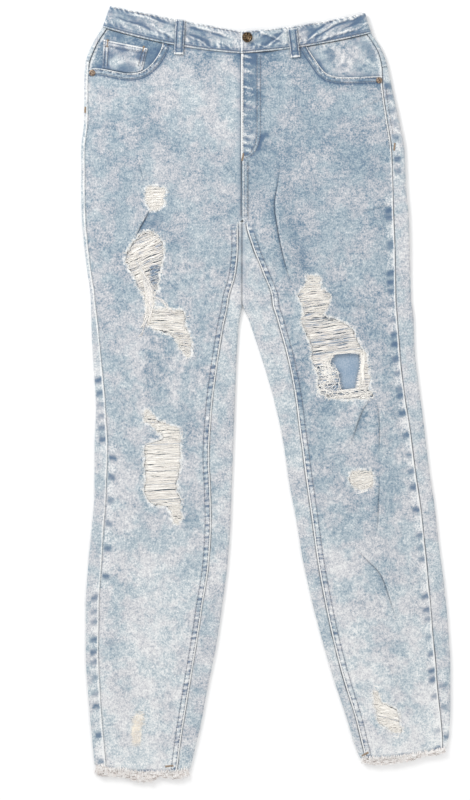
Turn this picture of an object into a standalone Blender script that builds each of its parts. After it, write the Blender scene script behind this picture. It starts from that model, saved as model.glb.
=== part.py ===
"""Ripped five-pocket jeans, laid flat on their back.

The tables are in millimetres. +X is to the right as the jeans are seen from above, +Y runs from
the hems to the waist and +Z is up. The origin lies on the surface, under the middle of the box.
Each half of the jeans is a flattened tube of sections that run from its outer edge to its inner
edge. The back panels wrap round both edges, so their seams to the fronts lie on top.
"""

import math

import bpy
import bmesh
import numpy as np
from mathutils import Vector
from mathutils.bvhtree import BVHTree

MM = 0.001
SEAM = 0.3
YOKE_CELLS = 3
SEAT_CELLS = 7
LEG_CELLS = 22
FRONT_CELLS = 12
DENIM = 1.2
BAND_CLOTH = 2.2
FACING_CLOTH = 1.0
LOOP_CLOTH = 1.5
CLEAR = 0.3

FOLD_DEPTH = 3.8
LEG_HEIGHT = 4.8
CROWN = 0.8
CROWN_REACH = 40.0
BAND_HEIGHT = 6.6
BAND_FLOOR = 1.7
BAND_FOLD = 4.5
BAND_ROWS = 3
BAND_COLUMNS = 9
BAND_TURNS = 5
PANEL_LIFT = 1.3
WAIST_LIFT = 0.7
CENTRE_X = -33.0
CROTCH_Y = 233.0
CROTCH_ROW = 236.0
LEG_TOP_ROW = 230.0
FLY_END_Y = 319.0
FLY_RAISE = 1.6
FLY_RAISE_Y = (262.0, 300.0)
FLY_RAISE_X = (10.0, -26.0)
FLY_UNDER = 4.2
FLY_OVER = 1.5
TAB_RAISE = 2.5
TAB_RAISE_X = (30.0, -8.0)
TAB_UNDER = 21.0
UNDERLAP_RISE = 4.0

# Sections from the waist seam down to the hem. edge is the outer edge, inner the inner edge, bow how
# far the middle sags towards the hem, and outseam and inseam how far the seams lie in from the edges.
LEFT_SECTIONS = (
    # edge_y, edge_x, inner_x, inner_y, bow, outseam, inseam
    (495, -221, -33, 459.5, 6.0, 5.2, 5.2),
    (470, -236, -33, 441.0, 4.0, 5.2, 5.2),
    (443, -245, -33, 418.0, 2.0, 5.2, 5.2),
    (411, -246, -33, 391.0, 0.5, 5.2, 5.2),
    (371, -246, -33, 357.0, 0.0, 5.2, 5.2),
    (330, -250, -33, 321.0, 0.0, 5.2, 5.2),
    (283, -250, -33, 276.0, 0.0, 5.2, 5.2),
    (236, -249, -33, 233.0, 0.0, 5.2, 5.2),
    (202, -246, -33, 199.0, 0.0, 5.2, 5.2),
    (168, -242, -33, 165.0, 0.0, 5.2, 8.2),
    (128, -237, -33, 125.0, 0.0, 5.9, 18.2),
    (87, -236, -38, 87.0, 0.0, 9.5, 20.7),
    (33, -233, -41, 33.0, 0.0, 11.7, 26.0),
    (-21, -230, -43, -21.0, 0.0, 13.3, 30.6),
    (-75, -232, -45, -75.0, 0.0, 18.0, 32.0),
    (-129, -232, -47, -128.0, 0.0, 16.0, 28.3),
    (-183, -236, -49, -180.0, 0.0, 16.5, 25.4),
    (-237, -241, -53, -233.0, 0.0, 18.4, 25.0),
    (-291, -244, -60, -287.0, 0.0, 18.3, 26.5),
    (-345, -244, -68, -340.0, 0.0, 17.6, 26.6),
    (-399, -241, -79, -394.0, 1.0, 16.8, 24.7),
    (-446, -237, -88, -442.0, 3.0, 16.0, 23.8),
    (-499, -232, -103, -505.5, 6.5, 15.9, 17.5),
)
RIGHT_SECTIONS = (
    # edge_y, edge_x, inner_x, inner_y, bow, outseam, inseam
    (487, 141, -33, 459.5, 4.0, 5.2, 5.2),
    (465, 155, -33, 441.0, 3.0, 5.2, 5.2),
    (443, 163, -33, 418.0, 1.5, 7.0, 5.2),
    (414, 169, -33, 391.0, 0.5, 12.0, 5.2),
    (373, 178, -33, 357.0, 0.0, 15.3, 5.2),
    (330, 186, -33, 321.0, 0.0, 17.0, 5.2),
    (283, 188, -33, 276.0, 0.0, 17.4, 5.2),
    (236, 192, -33, 233.0, 0.0, 20.0, 5.2),
    (202, 193, -33, 199.0, 0.0, 19.6, 14.0),
    (168, 194, -33, 165.0, 0.0, 19.8, 27.5),
    (129, 195, -33, 125.0, 0.0, 20.2, 40.6),
    (106, 198, -24, 101.0, 0.0, 21.5, 38.0),
    (57, 200, -6, 47.0, 0.0, 19.8, 34.5),
    (6, 206, 10, -7.0, 0.0, 20.2, 28.9),
    (-47, 213, 22, -61.0, 0.0, 18.9, 23.9),
    (-99, 219, 30, -115.0, 0.0, 18.2, 23.0),
    (-153, 227, 40, -169.0, 0.0, 18.4, 20.8),
    (-207, 233, 49, -223.0, 0.0, 18.6, 19.3),
    (-261, 240, 61, -277.0, 0.0, 20.5, 17.0),
    (-315, 245, 75, -331.0, 0.0, 20.9, 14.5),
    (-369, 248, 91, -385.0, 0.0, 19.0, 12.7),
    (-423, 248, 109, -439.0, 1.0, 14.0, 11.4),
    (-460, 246, 119, -473.0, 2.5, 8.5, 9.9),
    (-476, 243.5, 126, -490.0, 4.0, 6.0, 7.0),
)
# The band's lower and upper edges, from the side fold to the centre front.
LEFT_BAND_SECTIONS = (
    # edge_y, edge_x, inner_x, inner_y, bow, outseam, inseam
    (523.5, -211.0, -33, 489.0, 0.0, 0.0, 0.0),
    (495.3, -221.0, -33, 459.8, 6.0, 0.0, 0.0),
)
RIGHT_BAND_SECTIONS = (
    # edge_y, edge_x, inner_x, inner_y, bow, outseam, inseam
    (514.5, 133.0, -33, 489.0, 3.0, 0.0, 0.0),
    (487.3, 141.0, -33, 459.8, 4.0, 0.0, 0.0),
)

# The largest folds of the fronts, each a soft ridge, or a trough where the height is below nothing.
# sag bends the line sideways, and the two widths set how steeply each side falls.
FOLDS = (
    # start_x, start_y, end_x, end_y, sag, left_width, right_width, height
    (22, 306, 43, 128, -12, 9, 24, 1.7),
    (46, 190, 64, 150, 0, 8, 10, -0.8),
    (92, 128, 166, 114, 3, 11, 14, 1.2),
    (140, 6, 108, -76, -4, 16, 10, 1.4),
    (146, 6, 152, -92, -3, 10, 16, 1.3),
    (150, -118, 142, -196, -4, 12, 12, 1.2),
    (120, -206, 178, -318, 8, 14, 12, 1.4),
    (160, -344, 180, -410, 0, 10, 12, 1.1),
    (-176, 326, -160, 272, -3, 10, 14, 1.2),
    (-164, 96, -156, -14, 3, 12, 14, 1.2),
    (-70, 322, -38, 286, 0, 9, 12, 1.0),
    (-108, 76, -90, 40, 0, 10, 10, -0.7),
    (-120, -230, -96, -330, 5, 14, 14, 1.1),
    (-190, -250, -200, -360, 4, 14, 14, -0.7),
    (80, 330, 120, 250, 6, 18, 18, 0.9),
    (-120, 230, -90, 150, 6, 18, 16, 0.9),
)

# The front pocket openings, from the waist seam round to the outseam.
LEFT_POCKET_CURVE = (
    (-139, 488), (-140, 473), (-143, 463.5), (-151, 450), (-162, 439), (-172, 434),
    (-186, 432.5), (-201, 435), (-219, 439), (-232, 440.5), (-246, 438), (-262, 438), (-262, 520),
)
RIGHT_POCKET_CURVE = (
    (44, 488), (56, 465.5), (68, 448), (75, 438), (83, 431), (95, 428), (110, 427.5), (135, 428.5),
    (157, 429.5), (180, 430), (180, 512),
)

# Rips, from the top down. Each row is a height and the hole's left and right edges there.
RIPS = {
    "left_hip": ("left", ((280, -161, -138), (272, -163.5, -137), (262.5, -163.5, -138.5),
                          (256, -158.5, -139.5), (249, -155, -147))),
    "left_thigh": ("left", ((220, -164, -156), (214, -171, -146.5), (208.5, -176, -141),
                            (195, -185, -139.5), (184, -191, -139.5), (171, -185.5, -142.5),
                            (157, -178, -145), (144, -172, -147), (136, -167, -154),
                            (126, -163, -153), (119, -162, -153))),
    "left_above_knee": ("left", ((115, -161, -113), (106, -162, -110), (95, -162.5, -109.5),
                                 (89, -157, -107.5), (84, -131, -106), (74, -122, -102.5),
                                 (63, -115, -101.5), (52, -109, -103))),
    "left_knee": ("left", ((-21, -163.5, -157), (-30, -165, -152), (-38, -164, -146.5),
                           (-42.5, -155, -119.5), (-49, -148, -117.5), (-54, -139, -116.5),
                           (-61.5, -138.5, -116), (-68, -165, -116), (-88, -164, -115.5),
                           (-102, -163.5, -117), (-119.5, -164, -123), (-131.5, -164.5, -122),
                           (-139.5, -161, -117.5), (-148, -154, -115.5), (-153, -129, -115),
                           (-164, -127, -115.5), (-174, -125, -118))),
    "right_knee": ("right", ((160, 55, 71), (150.5, 54.5, 72), (141, 48, 76), (135.5, 43, 85.5),
                             (127.5, 45, 86), (118, 48.5, 83), (110, 50, 76), (104, 47.5, 76),
                             (99, 46.5, 104.5), (87, 52, 115.5), (77.5, 56, 121), (67, 58.5, 126),
                             (58.5, 60, 133), (46.5, 61.5, 135.5), (31.5, 68, 137),
                             (22, 69.5, 141), (14, 70, 138), (6, 72, 138), (1, 75, 143.5),
                             (-5.5, 83, 142.5))),
    "right_shin": ("right", ((-103, 117, 139.5), (-108.5, 112.5, 145), (-121, 114, 145),
                             (-127.5, 121, 139.5))),
    "right_ankle": ("right", ((-400, 144.5, 151), (-416, 145, 153), (-424.5, 146.5, 175),
                              (-434, 148, 178), (-442, 152, 180), (-450, 163, 181.5),
                              (-457, 169.5, 180))),
}
# The part of the knee rip that is torn right through, with nothing across it.
KNEE_HOLE = (
    (54, 92, 126), (46.5, 87, 126), (38.5, 85.5, 126), (34.5, 95, 126), (30, 99, 125.5),
    (22, 99, 123), (14, 100.5, 121.5), (6, 102, 120.5),
)
# Facings under the pocket openings: how far they reach towards the centre, and their lower edge.
FACINGS = {"left": (-129.0, 434.0), "right": (34.0, 428.0)}
FACING_CELLS = (4, 7)
FACING_DROP = DENIM + CLEAR + 0.1
COIN_POCKET = (
    # top_x, top_y, bottom_x, bottom_y
    (-219.5, 478.5, -222.0, 440.5),
    (-204.5, 475.5, -204.0, 436.7),
    (-189.5, 472.5, -188.0, 433.8),
    (-174.5, 469.5, -176.0, 433.9),
    (-160.0, 466.5, -167.0, 437.5),
)
COIN_POCKET_ROWS = 4

ZIP_Y = (455.0, 322.0)
ZIP_X = (-46.0, -19.0)
ZIP_CELLS = (5, 3)
ZIP_DROP = DENIM + 0.6

# The middles of each belt loop's lower and upper ends.
FRONT_LOOPS = {"left": ((-118.5, 458.0), (-116.0, 505.0)), "right": ((39.0, 454.0), (34.5, 493.0))}
BACK_LOOPS = {
    "left": ((-176.0, 476.0), (-171.0, 515.0)),
    "centre": ((CENTRE_X, 449.0), (CENTRE_X, 487.5)),
    "right": ((100.0, 467.0), (95.0, 506.0)),
}
LOOP_WIDTH = 13.0
BACK_LOOP_CLOTH = 1.4
# How a front loop arches over the band, from its lower end to its upper end.
LOOP_ARCH = (
    # share of length, rise
    (0.0, 0.0), (0.16, 0.0), (0.3, 0.3), (0.5, 1.0), (0.75, 1.0), (0.9, 0.4), (1.0, 0.0),
)

STRAND_PITCH = 8.0
STRAND_WIDTH = 6.2
STRAND_CLOTH = 0.8
HOLE_ROLL = 3.0
STRIP_OUTSIDE = 4.0
STRIP_INSIDE = 0.6
STRAND_DROP = DENIM + CLEAR

# How far the frayed hems hang, across the leg from the outer edge (0) to the inner edge (1).
LEFT_FRAY = ((0, 16), (0.27, 11), (0.45, 14.5), (0.57, 17), (0.68, 8), (0.89, 12), (1, 10))
RIGHT_FRAY = ((0, 7.5), (0.27, 6.5), (0.46, 9.5), (0.59, 10.5), (0.73, 11.5), (1, 8))
FRAY_STRANDS = 14
FRAY_TURNS = 3
FRAY_STRIP = 2.5
FRAY_CLOTH = 0.9
FRAY_TAPER = 0.3
FRAY_DROOP = 1.6

YOKE_SEAM = 0.45
YOKE_AT_SIDE = 45.0
YOKE_AT_CENTRE = 80.0
BACK_POCKET = ((-72, 0), (72, 0), (67, -128), (0, -156), (-67, -128))
BACK_POCKET_CLOTH = 1.0
BACK_POCKET_OFF_CENTRE = 109.0
BACK_POCKET_TOP_Y = 398.0
BACK_POCKET_TURN = 0.2

BUTTON_AT = (-26.0, 481.0)
BUTTON_RADIUS = 7.0
SHANK_RADIUS = 1.9
SLOT_WIDTH = 5.0
SLOT_REACH = 11.0
SLOT_TURN = -0.9
RIVETS = {"rivet_left": ("left", -235.0, 433.5), "rivet_right": ("right", 151.8, 423.5)}
RIVET_RADIUS = 4.3

MATERIALS = {
    # colour, roughness, metallic
    "denim": ((0.46, 0.56, 0.66), 0.9, 0.0),
    "plain_denim": ((0.36, 0.47, 0.60), 0.9, 0.0),
    "weft": ((0.86, 0.82, 0.74), 0.95, 0.0),
    "bronze": ((0.16, 0.11, 0.07), 0.45, 1.0),
    "copper": ((0.62, 0.42, 0.28), 0.4, 1.0),
}


def collection(name):
    """A new collection in the scene."""
    made = bpy.data.collections.new(name)
    bpy.context.scene.collection.children.link(made)
    return made


def material(name):
    """A plain surface with the colour, roughness and metallic value of its row."""
    found = bpy.data.materials.get(name)
    if found:
        return found
    colour, roughness, metallic = MATERIALS[name]
    made = bpy.data.materials.new(name)
    made.use_nodes = True
    shader = made.node_tree.nodes["Principled BSDF"]
    shader.inputs["Base Color"].default_value = (*colour, 1.0)
    shader.inputs["Roughness"].default_value = roughness
    shader.inputs["Metallic"].default_value = metallic
    return made


def ease(low, high, value):
    """0 below low, 1 above high and a smooth rise between."""
    f = np.clip((value - low) / (high - low), 0.0, 1.0)
    return f * f * (3.0 - 2.0 * f)


def smooth_table(knots, values, at):
    """A smooth curve through a table's rows that never swings past them."""
    steps = np.diff(values) / np.diff(knots)
    both = steps[:-1] + steps[1:]
    same_way = steps[:-1] * steps[1:] > 0.0
    middle = np.where(same_way, 2.0 * steps[:-1] * steps[1:] / np.where(same_way, both, 1.0), 0.0)
    slopes = np.concatenate((steps[:1], middle, steps[-1:]))
    i = np.clip(np.searchsorted(knots, at) - 1, 0, len(knots) - 2)
    width = knots[i + 1] - knots[i]
    f = np.clip((at - knots[i]) / width, 0.0, 1.0)
    return ((1 + 2 * f) * (1 - f) ** 2 * values[i] + f * (1 - f) ** 2 * width * slopes[i]
            + f * f * (3 - 2 * f) * values[i + 1] + f * f * (f - 1) * width * slopes[i + 1])


class Tube:
    """A flattened tube of cloth: one half of the jeans, or of the waistband."""

    def __init__(self, sections, outward):
        table = np.array(sections[::-1] if sections[0][0] > sections[-1][0] else sections, float)
        self.outward = outward
        self.knots = table[:, 0]
        self.columns = table[:, 1:].T.copy()
        self.columns[1] += outward * SEAM / 2

    def section(self, row):
        """edge_x, inner_x, inner_y, bow, outseam and inseam of the section at this edge height."""
        row = np.asarray(row, float)
        return [smooth_table(self.knots, column, row) for column in self.columns]

    def width(self, row):
        edge_x, inner_x, inner_y = self.section(row)[:3]
        return np.hypot(inner_x - edge_x, inner_y - row)

    def plan(self, row, across):
        """Where the cloth lies, seen from above, at a distance in from the outer edge."""
        edge_x, inner_x, inner_y, bow = self.section(row)[:4]
        f = across / np.hypot(inner_x - edge_x, inner_y - row)
        return edge_x + f * (inner_x - edge_x), row + f * (inner_y - row) - bow * 4 * f * (1 - f)


LEFT = Tube(LEFT_SECTIONS, -1)
RIGHT = Tube(RIGHT_SECTIONS, 1)
SIDES = {"left": LEFT, "right": RIGHT}
BANDS = {"left": Tube(LEFT_BAND_SECTIONS, -1), "right": Tube(RIGHT_BAND_SECTIONS, 1)}


def folds_at(x, y):
    """The height that the largest folds add at a place."""
    total = np.zeros(np.broadcast(x, y).shape)
    for start_x, start_y, end_x, end_y, sag, left_width, right_width, height in FOLDS:
        run_x, run_y = end_x - start_x, end_y - start_y
        length = math.hypot(run_x, run_y)
        along = ((x - start_x) * run_x + (y - start_y) * run_y) / length ** 2
        off = ((x - start_x) * -run_y + (y - start_y) * run_x) / length
        along = np.clip(along, 0.0, 1.0)
        off = off - sag * 4 * along * (1 - along)
        width = np.where(off > 0, right_width, left_width)
        total += height * np.sin(math.pi * along) ** 1.2 * ease(1.0, 0.0, np.abs(off) / width)
    return total


def floor_height(inner_y):
    """The underside: on the floor along the legs, lifted by the back pockets above them."""
    return PANEL_LIFT * ease(150, 205, inner_y) + WAIST_LIFT * ease(415, 450, inner_y)


def top_height(tube, row, across):
    """The upper surface of a half at a distance in from its outer edge."""
    inner_y = tube.section(row)[2]
    width = tube.width(row)
    x, y = tube.plan(row, across)
    outer = ease(FOLD_DEPTH, FOLD_DEPTH + CROWN_REACH, across)
    inner = ease(FOLD_DEPTH, FOLD_DEPTH + CROWN_REACH, width - across)
    torso = ease(CROTCH_Y, CROTCH_Y + 52, inner_y)
    cover = outer * (inner + (1 - inner) * torso)
    return floor_height(inner_y) + LEG_HEIGHT + cover * (CROWN + folds_at(x, y))


def wrap(tube, row, girth):
    """A point on the outside of a back panel. girth runs 0 to 1 over the strip from the inseam,
    1 to 2 round the inner fold, 2 to 3 underneath, 3 to 4 round the outer fold and 4 to 5 over
    the strip to the outseam."""
    _, _, inner_y, _, outseam, inseam = tube.section(row)
    width = tube.width(row)
    inner_reach = np.where(row > LEG_TOP_ROW + 1, width, width - FOLD_DEPTH)
    low = floor_height(inner_y)
    part = np.clip(np.floor(girth), 0, 4)
    f = girth - part
    turn = math.pi * np.where(part == 1, f, 1 - f)
    bulge = FOLD_DEPTH * np.sin(turn)
    across = np.choose(part.astype(int), [
        width - inseam + SEAM / 2 + f * (inseam - SEAM / 2 - FOLD_DEPTH),
        width - FOLD_DEPTH + bulge,
        inner_reach + f * (FOLD_DEPTH - inner_reach),
        FOLD_DEPTH - bulge,
        FOLD_DEPTH + f * (outseam - SEAM / 2 - FOLD_DEPTH),
    ])
    x, y = tube.plan(row, across)
    top = top_height(tube, row, across)
    z = np.choose(part.astype(int), [
        top, low + LEG_HEIGHT * (1 + np.cos(turn)) / 2, low,
        low + LEG_HEIGHT * (1 + np.cos(turn)) / 2, top,
    ])
    return np.stack(np.broadcast_arrays(x, y, z), axis=-1)


def yoke_rows(tube):
    """The heights of the sections beside the yoke."""
    top = tube.knots[-1] - SEAM / 2
    return np.linspace(top, tube.knots[-1] - YOKE_AT_SIDE, YOKE_CELLS + 1)


def lower_rows(tube):
    """The heights of the sections from the yoke down, close together only at the crotch."""
    torso = np.linspace(tube.knots[-1] - YOKE_AT_SIDE, CROTCH_ROW, SEAT_CELLS + 1)
    leg = np.linspace(LEG_TOP_ROW, tube.knots[0] + SEAM / 2, LEG_CELLS + 1)
    return np.concatenate((torso, leg))


def cell_columns(*counts):
    """Girth values for a number of cells in each part, from the first part given."""
    edges = [np.array([float(counts[0][0])])]
    for start, cells in counts:
        edges.append(np.linspace(start, start + 1, cells + 1)[1:])
    return np.concatenate(edges)


def sheet(name, points, wall, slot, keep=None, up=True, ring=False):
    """A wall of cloth whose outside runs through a grid of points, with the kept cells only."""
    rows, columns = points.shape[:2]
    if keep is None:
        keep = np.ones((rows - 1, columns if ring else columns - 1), bool)
    index = np.arange(rows * columns).reshape(rows, columns)
    faces = []
    for r, c in zip(*np.nonzero(keep)):
        d = (c + 1) % columns
        a, b, e, f = index[r, c], index[r, d], index[r + 1, d], index[r + 1, c]
        faces += [(a, b, e), (a, e, f)]
    flat = points.reshape(-1, 3)
    corners = flat[np.array(faces)]
    normals = np.cross(corners[:, 1] - corners[:, 0], corners[:, 2] - corners[:, 0])
    if (normals[:, 2].sum() > 0) != up:
        faces = [face[::-1] for face in faces]
    used = np.unique(np.array(faces))
    number = {int(old): new for new, old in enumerate(used)}
    mesh = bpy.data.meshes.new(name)
    mesh.from_pydata([tuple(p * MM) for p in flat[used]], [],
                     [tuple(number[int(i)] for i in face) for face in faces])
    mesh.shade_smooth()
    mesh.set_sharp_from_angle(angle=math.radians(50))
    made = bpy.data.objects.new(name, mesh)
    made.data.materials.append(material(slot))
    JEANS.objects.link(made)
    shell = made.modifiers.new("cloth", "SOLIDIFY")
    shell.thickness = wall * MM
    shell.offset = -1.0
    shell.use_even_offset = True
    return made


def surface_of(*pieces):
    """A probe of the outsides of some pieces, before their walls are given a thickness."""
    corners, faces = [], []
    for piece in pieces:
        first = len(corners)
        corners += [v.co.copy() for v in piece.data.vertices]
        faces += [tuple(first + i for i in p.vertices) for p in piece.data.polygons]
    return BVHTree.FromPolygons(corners, faces)


def probe_height(probe, x, y):
    """The height in millimetres of the highest cloth at a place."""
    hit = probe.ray_cast(Vector((x * MM, y * MM, 0.1)), Vector((0, 0, -1)))[0]
    if hit is None:
        hit = probe.find_nearest(Vector((x * MM, y * MM, 0.006)))[0]
    return hit.z / MM


def lay_on(probe, plan_points, lift):
    """Points laid over a probed surface, at a height above it or below it."""
    shape = plan_points.shape[:2]
    lifts = np.broadcast_to(lift, shape)
    return np.array([[(*plan_points[r, c], probe_height(probe, *plan_points[r, c]) + lifts[r, c])
                      for c in range(shape[1])] for r in range(shape[0])])


def prism(mesh_builder, outline, low, high):
    """A closed upright block on an outline."""
    bottom = [mesh_builder.verts.new((x * MM, y * MM, low * MM)) for x, y in outline]
    face = mesh_builder.faces.new(bottom)
    face.normal_update()
    if face.normal.z > 0:
        face.normal_flip()
    raised = bmesh.ops.extrude_face_region(mesh_builder, geom=[face])
    top = [v for v in raised["geom"] if isinstance(v, bmesh.types.BMVert)]
    bmesh.ops.translate(mesh_builder, verts=top, vec=(0, 0, (high - low) * MM))
    bmesh.ops.recalc_face_normals(mesh_builder, faces=mesh_builder.faces[:])


def cut(piece, name, outlines, low=-20.0, high=40.0):
    """Cuts a piece right through along some outlines."""
    builder = bmesh.new()
    for outline in outlines:
        prism(builder, outline, low, high)
    mesh = bpy.data.meshes.new(name)
    builder.to_mesh(mesh)
    builder.free()
    cutter = bpy.data.objects.new(name, mesh)
    cutter.hide_render = True
    cutter.display_type = "WIRE"
    CUTTERS.objects.link(cutter)
    hole = piece.modifiers.new(name, "BOOLEAN")
    hole.operation = "DIFFERENCE"
    hole.solver = "EXACT"
    hole.object = cutter


def turned(name, profile, at, base, slot, turns):
    """A round piece from its profile of radius and height, top to bottom."""
    mesh = bpy.data.meshes.new(name)
    edges = [(i, i + 1) for i in range(len(profile) - 1)]
    mesh.from_pydata([(r * MM, 0, z * MM) for r, z in profile], edges, [])
    made = bpy.data.objects.new(name, mesh)
    made.location = (at[0] * MM, at[1] * MM, base * MM)
    made.data.materials.append(material(slot))
    JEANS.objects.link(made)
    spin = made.modifiers.new("turn", "SCREW")
    spin.steps = turns
    spin.render_steps = turns
    spin.use_merge_vertices = True
    spin.merge_threshold = 0.00001
    return made


def make_fronts():
    """The two front panels. The right one laps over the left along the fly."""
    made = {}
    for name, tube in SIDES.items():
        rows = np.concatenate((yoke_rows(tube)[:-1], lower_rows(tube)))[:, None]
        inner_y = tube.section(rows)[2]
        lap = FLY_UNDER if name == "left" else FLY_OVER
        torso_reach = tube.width(rows) + lap * (inner_y >= FLY_END_Y)
        leg_reach = tube.width(rows) - tube.section(rows)[5] - SEAM / 2
        reach = np.where(rows > LEG_TOP_ROW + 1, torso_reach, leg_reach)
        start = tube.section(rows)[4] + SEAM / 2
        across = start + (reach - start) * np.linspace(0, 1, FRONT_CELLS + 1)[None, :]
        x, y = tube.plan(rows, across)
        z = top_height(tube, rows, np.minimum(across, tube.width(rows)))
        if name == "right":
            z = z + FLY_RAISE * ease(*FLY_RAISE_Y, inner_y) * ease(*FLY_RAISE_X, x)
        made[name] = sheet("front_" + name, np.stack((x, y, z), axis=-1), DENIM, "denim")
    return made


def yoke_row(tube, girth):
    """The height of the yoke's lower seam, which drops towards the centre back."""
    f = np.clip(3 - girth, 0, 1)
    return tube.knots[-1] - YOKE_AT_SIDE - f * (YOKE_AT_CENTRE - YOKE_AT_SIDE)


def make_backs():
    """The back panels, which wrap round the legs, and the yokes above them."""
    for name, tube in SIDES.items():
        girth = cell_columns((0, 1), (1, 4), (2, 5), (3, 4), (4, 1))[None, :]
        rows = lower_rows(tube)[:, None]
        drop = (rows[0] - rows) / (rows[0] - CROTCH_ROW)
        below_yoke = yoke_row(tube, girth) - YOKE_SEAM / 2
        rows = np.where(rows >= CROTCH_ROW, below_yoke + (CROTCH_ROW - below_yoke) * drop, rows)
        keep = np.ones((rows.shape[0] - 1, girth.shape[1] - 1), bool)
        keep[:SEAT_CELLS + 1, :5] = False
        points = wrap(tube, rows, np.broadcast_to(girth, rows.shape))
        sheet("back_" + name, points, DENIM, "plain_denim", keep, up=False)

        girth = cell_columns((2, 5), (3, 4), (4, 1))[None, :]
        share = np.linspace(0, 1, YOKE_CELLS + 1)[:, None]
        top = tube.knots[-1] - SEAM / 2
        rows = top + (yoke_row(tube, girth) + YOKE_SEAM / 2 - top) * share
        points = wrap(tube, rows, np.broadcast_to(girth, rows.shape))
        sheet("yoke_" + name, points, DENIM, "plain_denim", up=False)


def make_waistband():
    """The two halves of the waistband, joined at the centre back. The right end laps over."""
    made = {}
    for name, tube in BANDS.items():
        share = np.linspace(0, 1, BAND_ROWS)[:, None]
        rows = tube.knots[0] + (tube.knots[-1] - tube.knots[0]) * share
        width = tube.width(rows)
        lap = TAB_UNDER if name == "left" else FLY_OVER
        flat = np.linspace(0, 1, BAND_COLUMNS)
        turn = np.linspace(0, math.pi, BAND_TURNS + 2)[1:-1]
        front = (width + lap) + (BAND_FOLD - width - lap) * flat
        fold = BAND_FOLD * (1 - np.sin(turn)) + 0 * width
        back = BAND_FOLD + (width - BAND_FOLD) * flat
        across = np.concatenate((front, fold, back), axis=1)
        heights = np.concatenate((np.ones_like(flat), (1 + np.cos(turn)) / 2, np.zeros_like(flat)))
        x, y = tube.plan(rows, across)
        z = BAND_FLOOR + BAND_HEIGHT * heights + 0 * x
        if name == "left":
            y = y + UNDERLAP_RISE * (1 - share) * ease(0, 3, across - width)
        if name == "right":
            z = z + TAB_RAISE * (heights == 1.0) * ease(*TAB_RAISE_X, x)
        made[name] = sheet("waistband_" + name, np.stack((x, y, z), axis=-1), BAND_CLOTH, "denim")
    return made


def make_pocket_facings(fronts):
    """The cloth under each front pocket opening, and the coin pocket on the left one."""
    rows_in, columns_in = FACING_CELLS
    for name, tube in SIDES.items():
        far_x, low_y = FACINGS[name]
        steps = np.linspace(0, 1, columns_in + 1)[None, :]
        row = tube.knots[-1] - SEAM
        rows = row - (row - low_y) * np.linspace(0, 1, rows_in + 1)[:, None] + 0 * steps
        start = tube.section(rows)[4] + SEAM
        reach = np.abs(far_x - tube.section(rows)[0])
        x, y = tube.plan(rows, start + (reach - start) * steps)
        points = lay_on(surface_of(fronts[name]), np.stack((x, y), axis=-1), -FACING_DROP)
        sheet("pocket_facing_" + name, points, FACING_CLOTH, "plain_denim")
    edges = np.array(COIN_POCKET)
    share = np.linspace(0, 1, COIN_POCKET_ROWS)[:, None, None]
    plan = edges[None, :, :2] + (edges[None, :, 2:] - edges[None, :, :2]) * share
    sheet("coin_pocket", lay_on(surface_of(fronts["left"]), plan, -CLEAR), FACING_CLOTH, "denim")


def make_zip():
    """The plain tape of the zip, behind the fly."""
    y = np.linspace(*ZIP_Y, ZIP_CELLS[0] + 1)[:, None]
    x = np.linspace(*ZIP_X, ZIP_CELLS[1] + 1)[None, :]
    z = floor_height(y) + LEG_HEIGHT + CROWN - ZIP_DROP
    points = np.stack(np.broadcast_arrays(x, y, z), axis=-1)
    sheet("zip_tape", points, FACING_CLOTH, "plain_denim")


def strip_corners(low, high, width, shares):
    """Plan points of a straight strip between the middles of its two ends."""
    run_x, run_y = high[0] - low[0], high[1] - low[1]
    length = math.hypot(run_x, run_y)
    side_x, side_y = -run_y / length * width / 2, run_x / length * width / 2
    return np.array([[(low[0] + run_x * s + k * side_x, low[1] + run_y * s + k * side_y)
                      for k in (1, 0, -1)] for s in shares])


def make_belt_loops(fronts):
    """Five loops: two in front, sewn over the band, and three flat ones on the back."""
    shares, arch = zip(*LOOP_ARCH)
    on_band = BAND_FLOOR + BAND_HEIGHT + CLEAR
    for name, (low, high) in FRONT_LOOPS.items():
        plan = strip_corners(low, high, LOOP_WIDTH, shares)
        on_panel = probe_height(surface_of(fronts[name]), *low) + CLEAR
        z = np.array([on_panel] + [on_band + rise for rise in arch[1:]])[:, None] + LOOP_CLOTH
        points = np.concatenate((plan, np.broadcast_to(z, plan.shape[:2])[:, :, None]), axis=2)
        sheet("belt_loop_" + name, points, LOOP_CLOTH, "denim")
    for name, (low, high) in BACK_LOOPS.items():
        plan = strip_corners(low, high, LOOP_WIDTH, (0.0, 0.5, 1.0))
        z = np.full(plan.shape[:2], BAND_FLOOR - CLEAR)[:, :, None]
        sheet("belt_loop_back_" + name, np.concatenate((plan, z), axis=2), BACK_LOOP_CLOTH, "denim")


def make_back_pockets():
    """Two plain patch pockets, which the jeans lie on."""
    for name, outward in (("left", -1), ("right", 1)):
        turn = outward * BACK_POCKET_TURN
        centre_x = CENTRE_X + outward * BACK_POCKET_OFF_CENTRE
        outline = [(centre_x + x * math.cos(turn) - y * math.sin(turn),
                    BACK_POCKET_TOP_Y + x * math.sin(turn) + y * math.cos(turn))
                   for x, y in BACK_POCKET]
        builder = bmesh.new()
        prism(builder, outline, 0.0, BACK_POCKET_CLOTH)
        mesh = bpy.data.meshes.new("back_pocket_" + name)
        builder.to_mesh(mesh)
        builder.free()
        made = bpy.data.objects.new(mesh.name, mesh)
        made.data.materials.append(material("denim"))
        JEANS.objects.link(made)


def rip_outline(rows):
    """The outline of a hole from its rows of height, left edge and right edge."""
    return [(left, y) for y, left, _ in rows] + [(right, y) for y, _, right in rows[::-1]]


def rip_edges(rows, y):
    """A hole's left and right edges at some heights."""
    table = np.array(rows[::-1], float)
    return np.interp(y, table[:, 0], table[:, 1]), np.interp(y, table[:, 0], table[:, 2])


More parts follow.
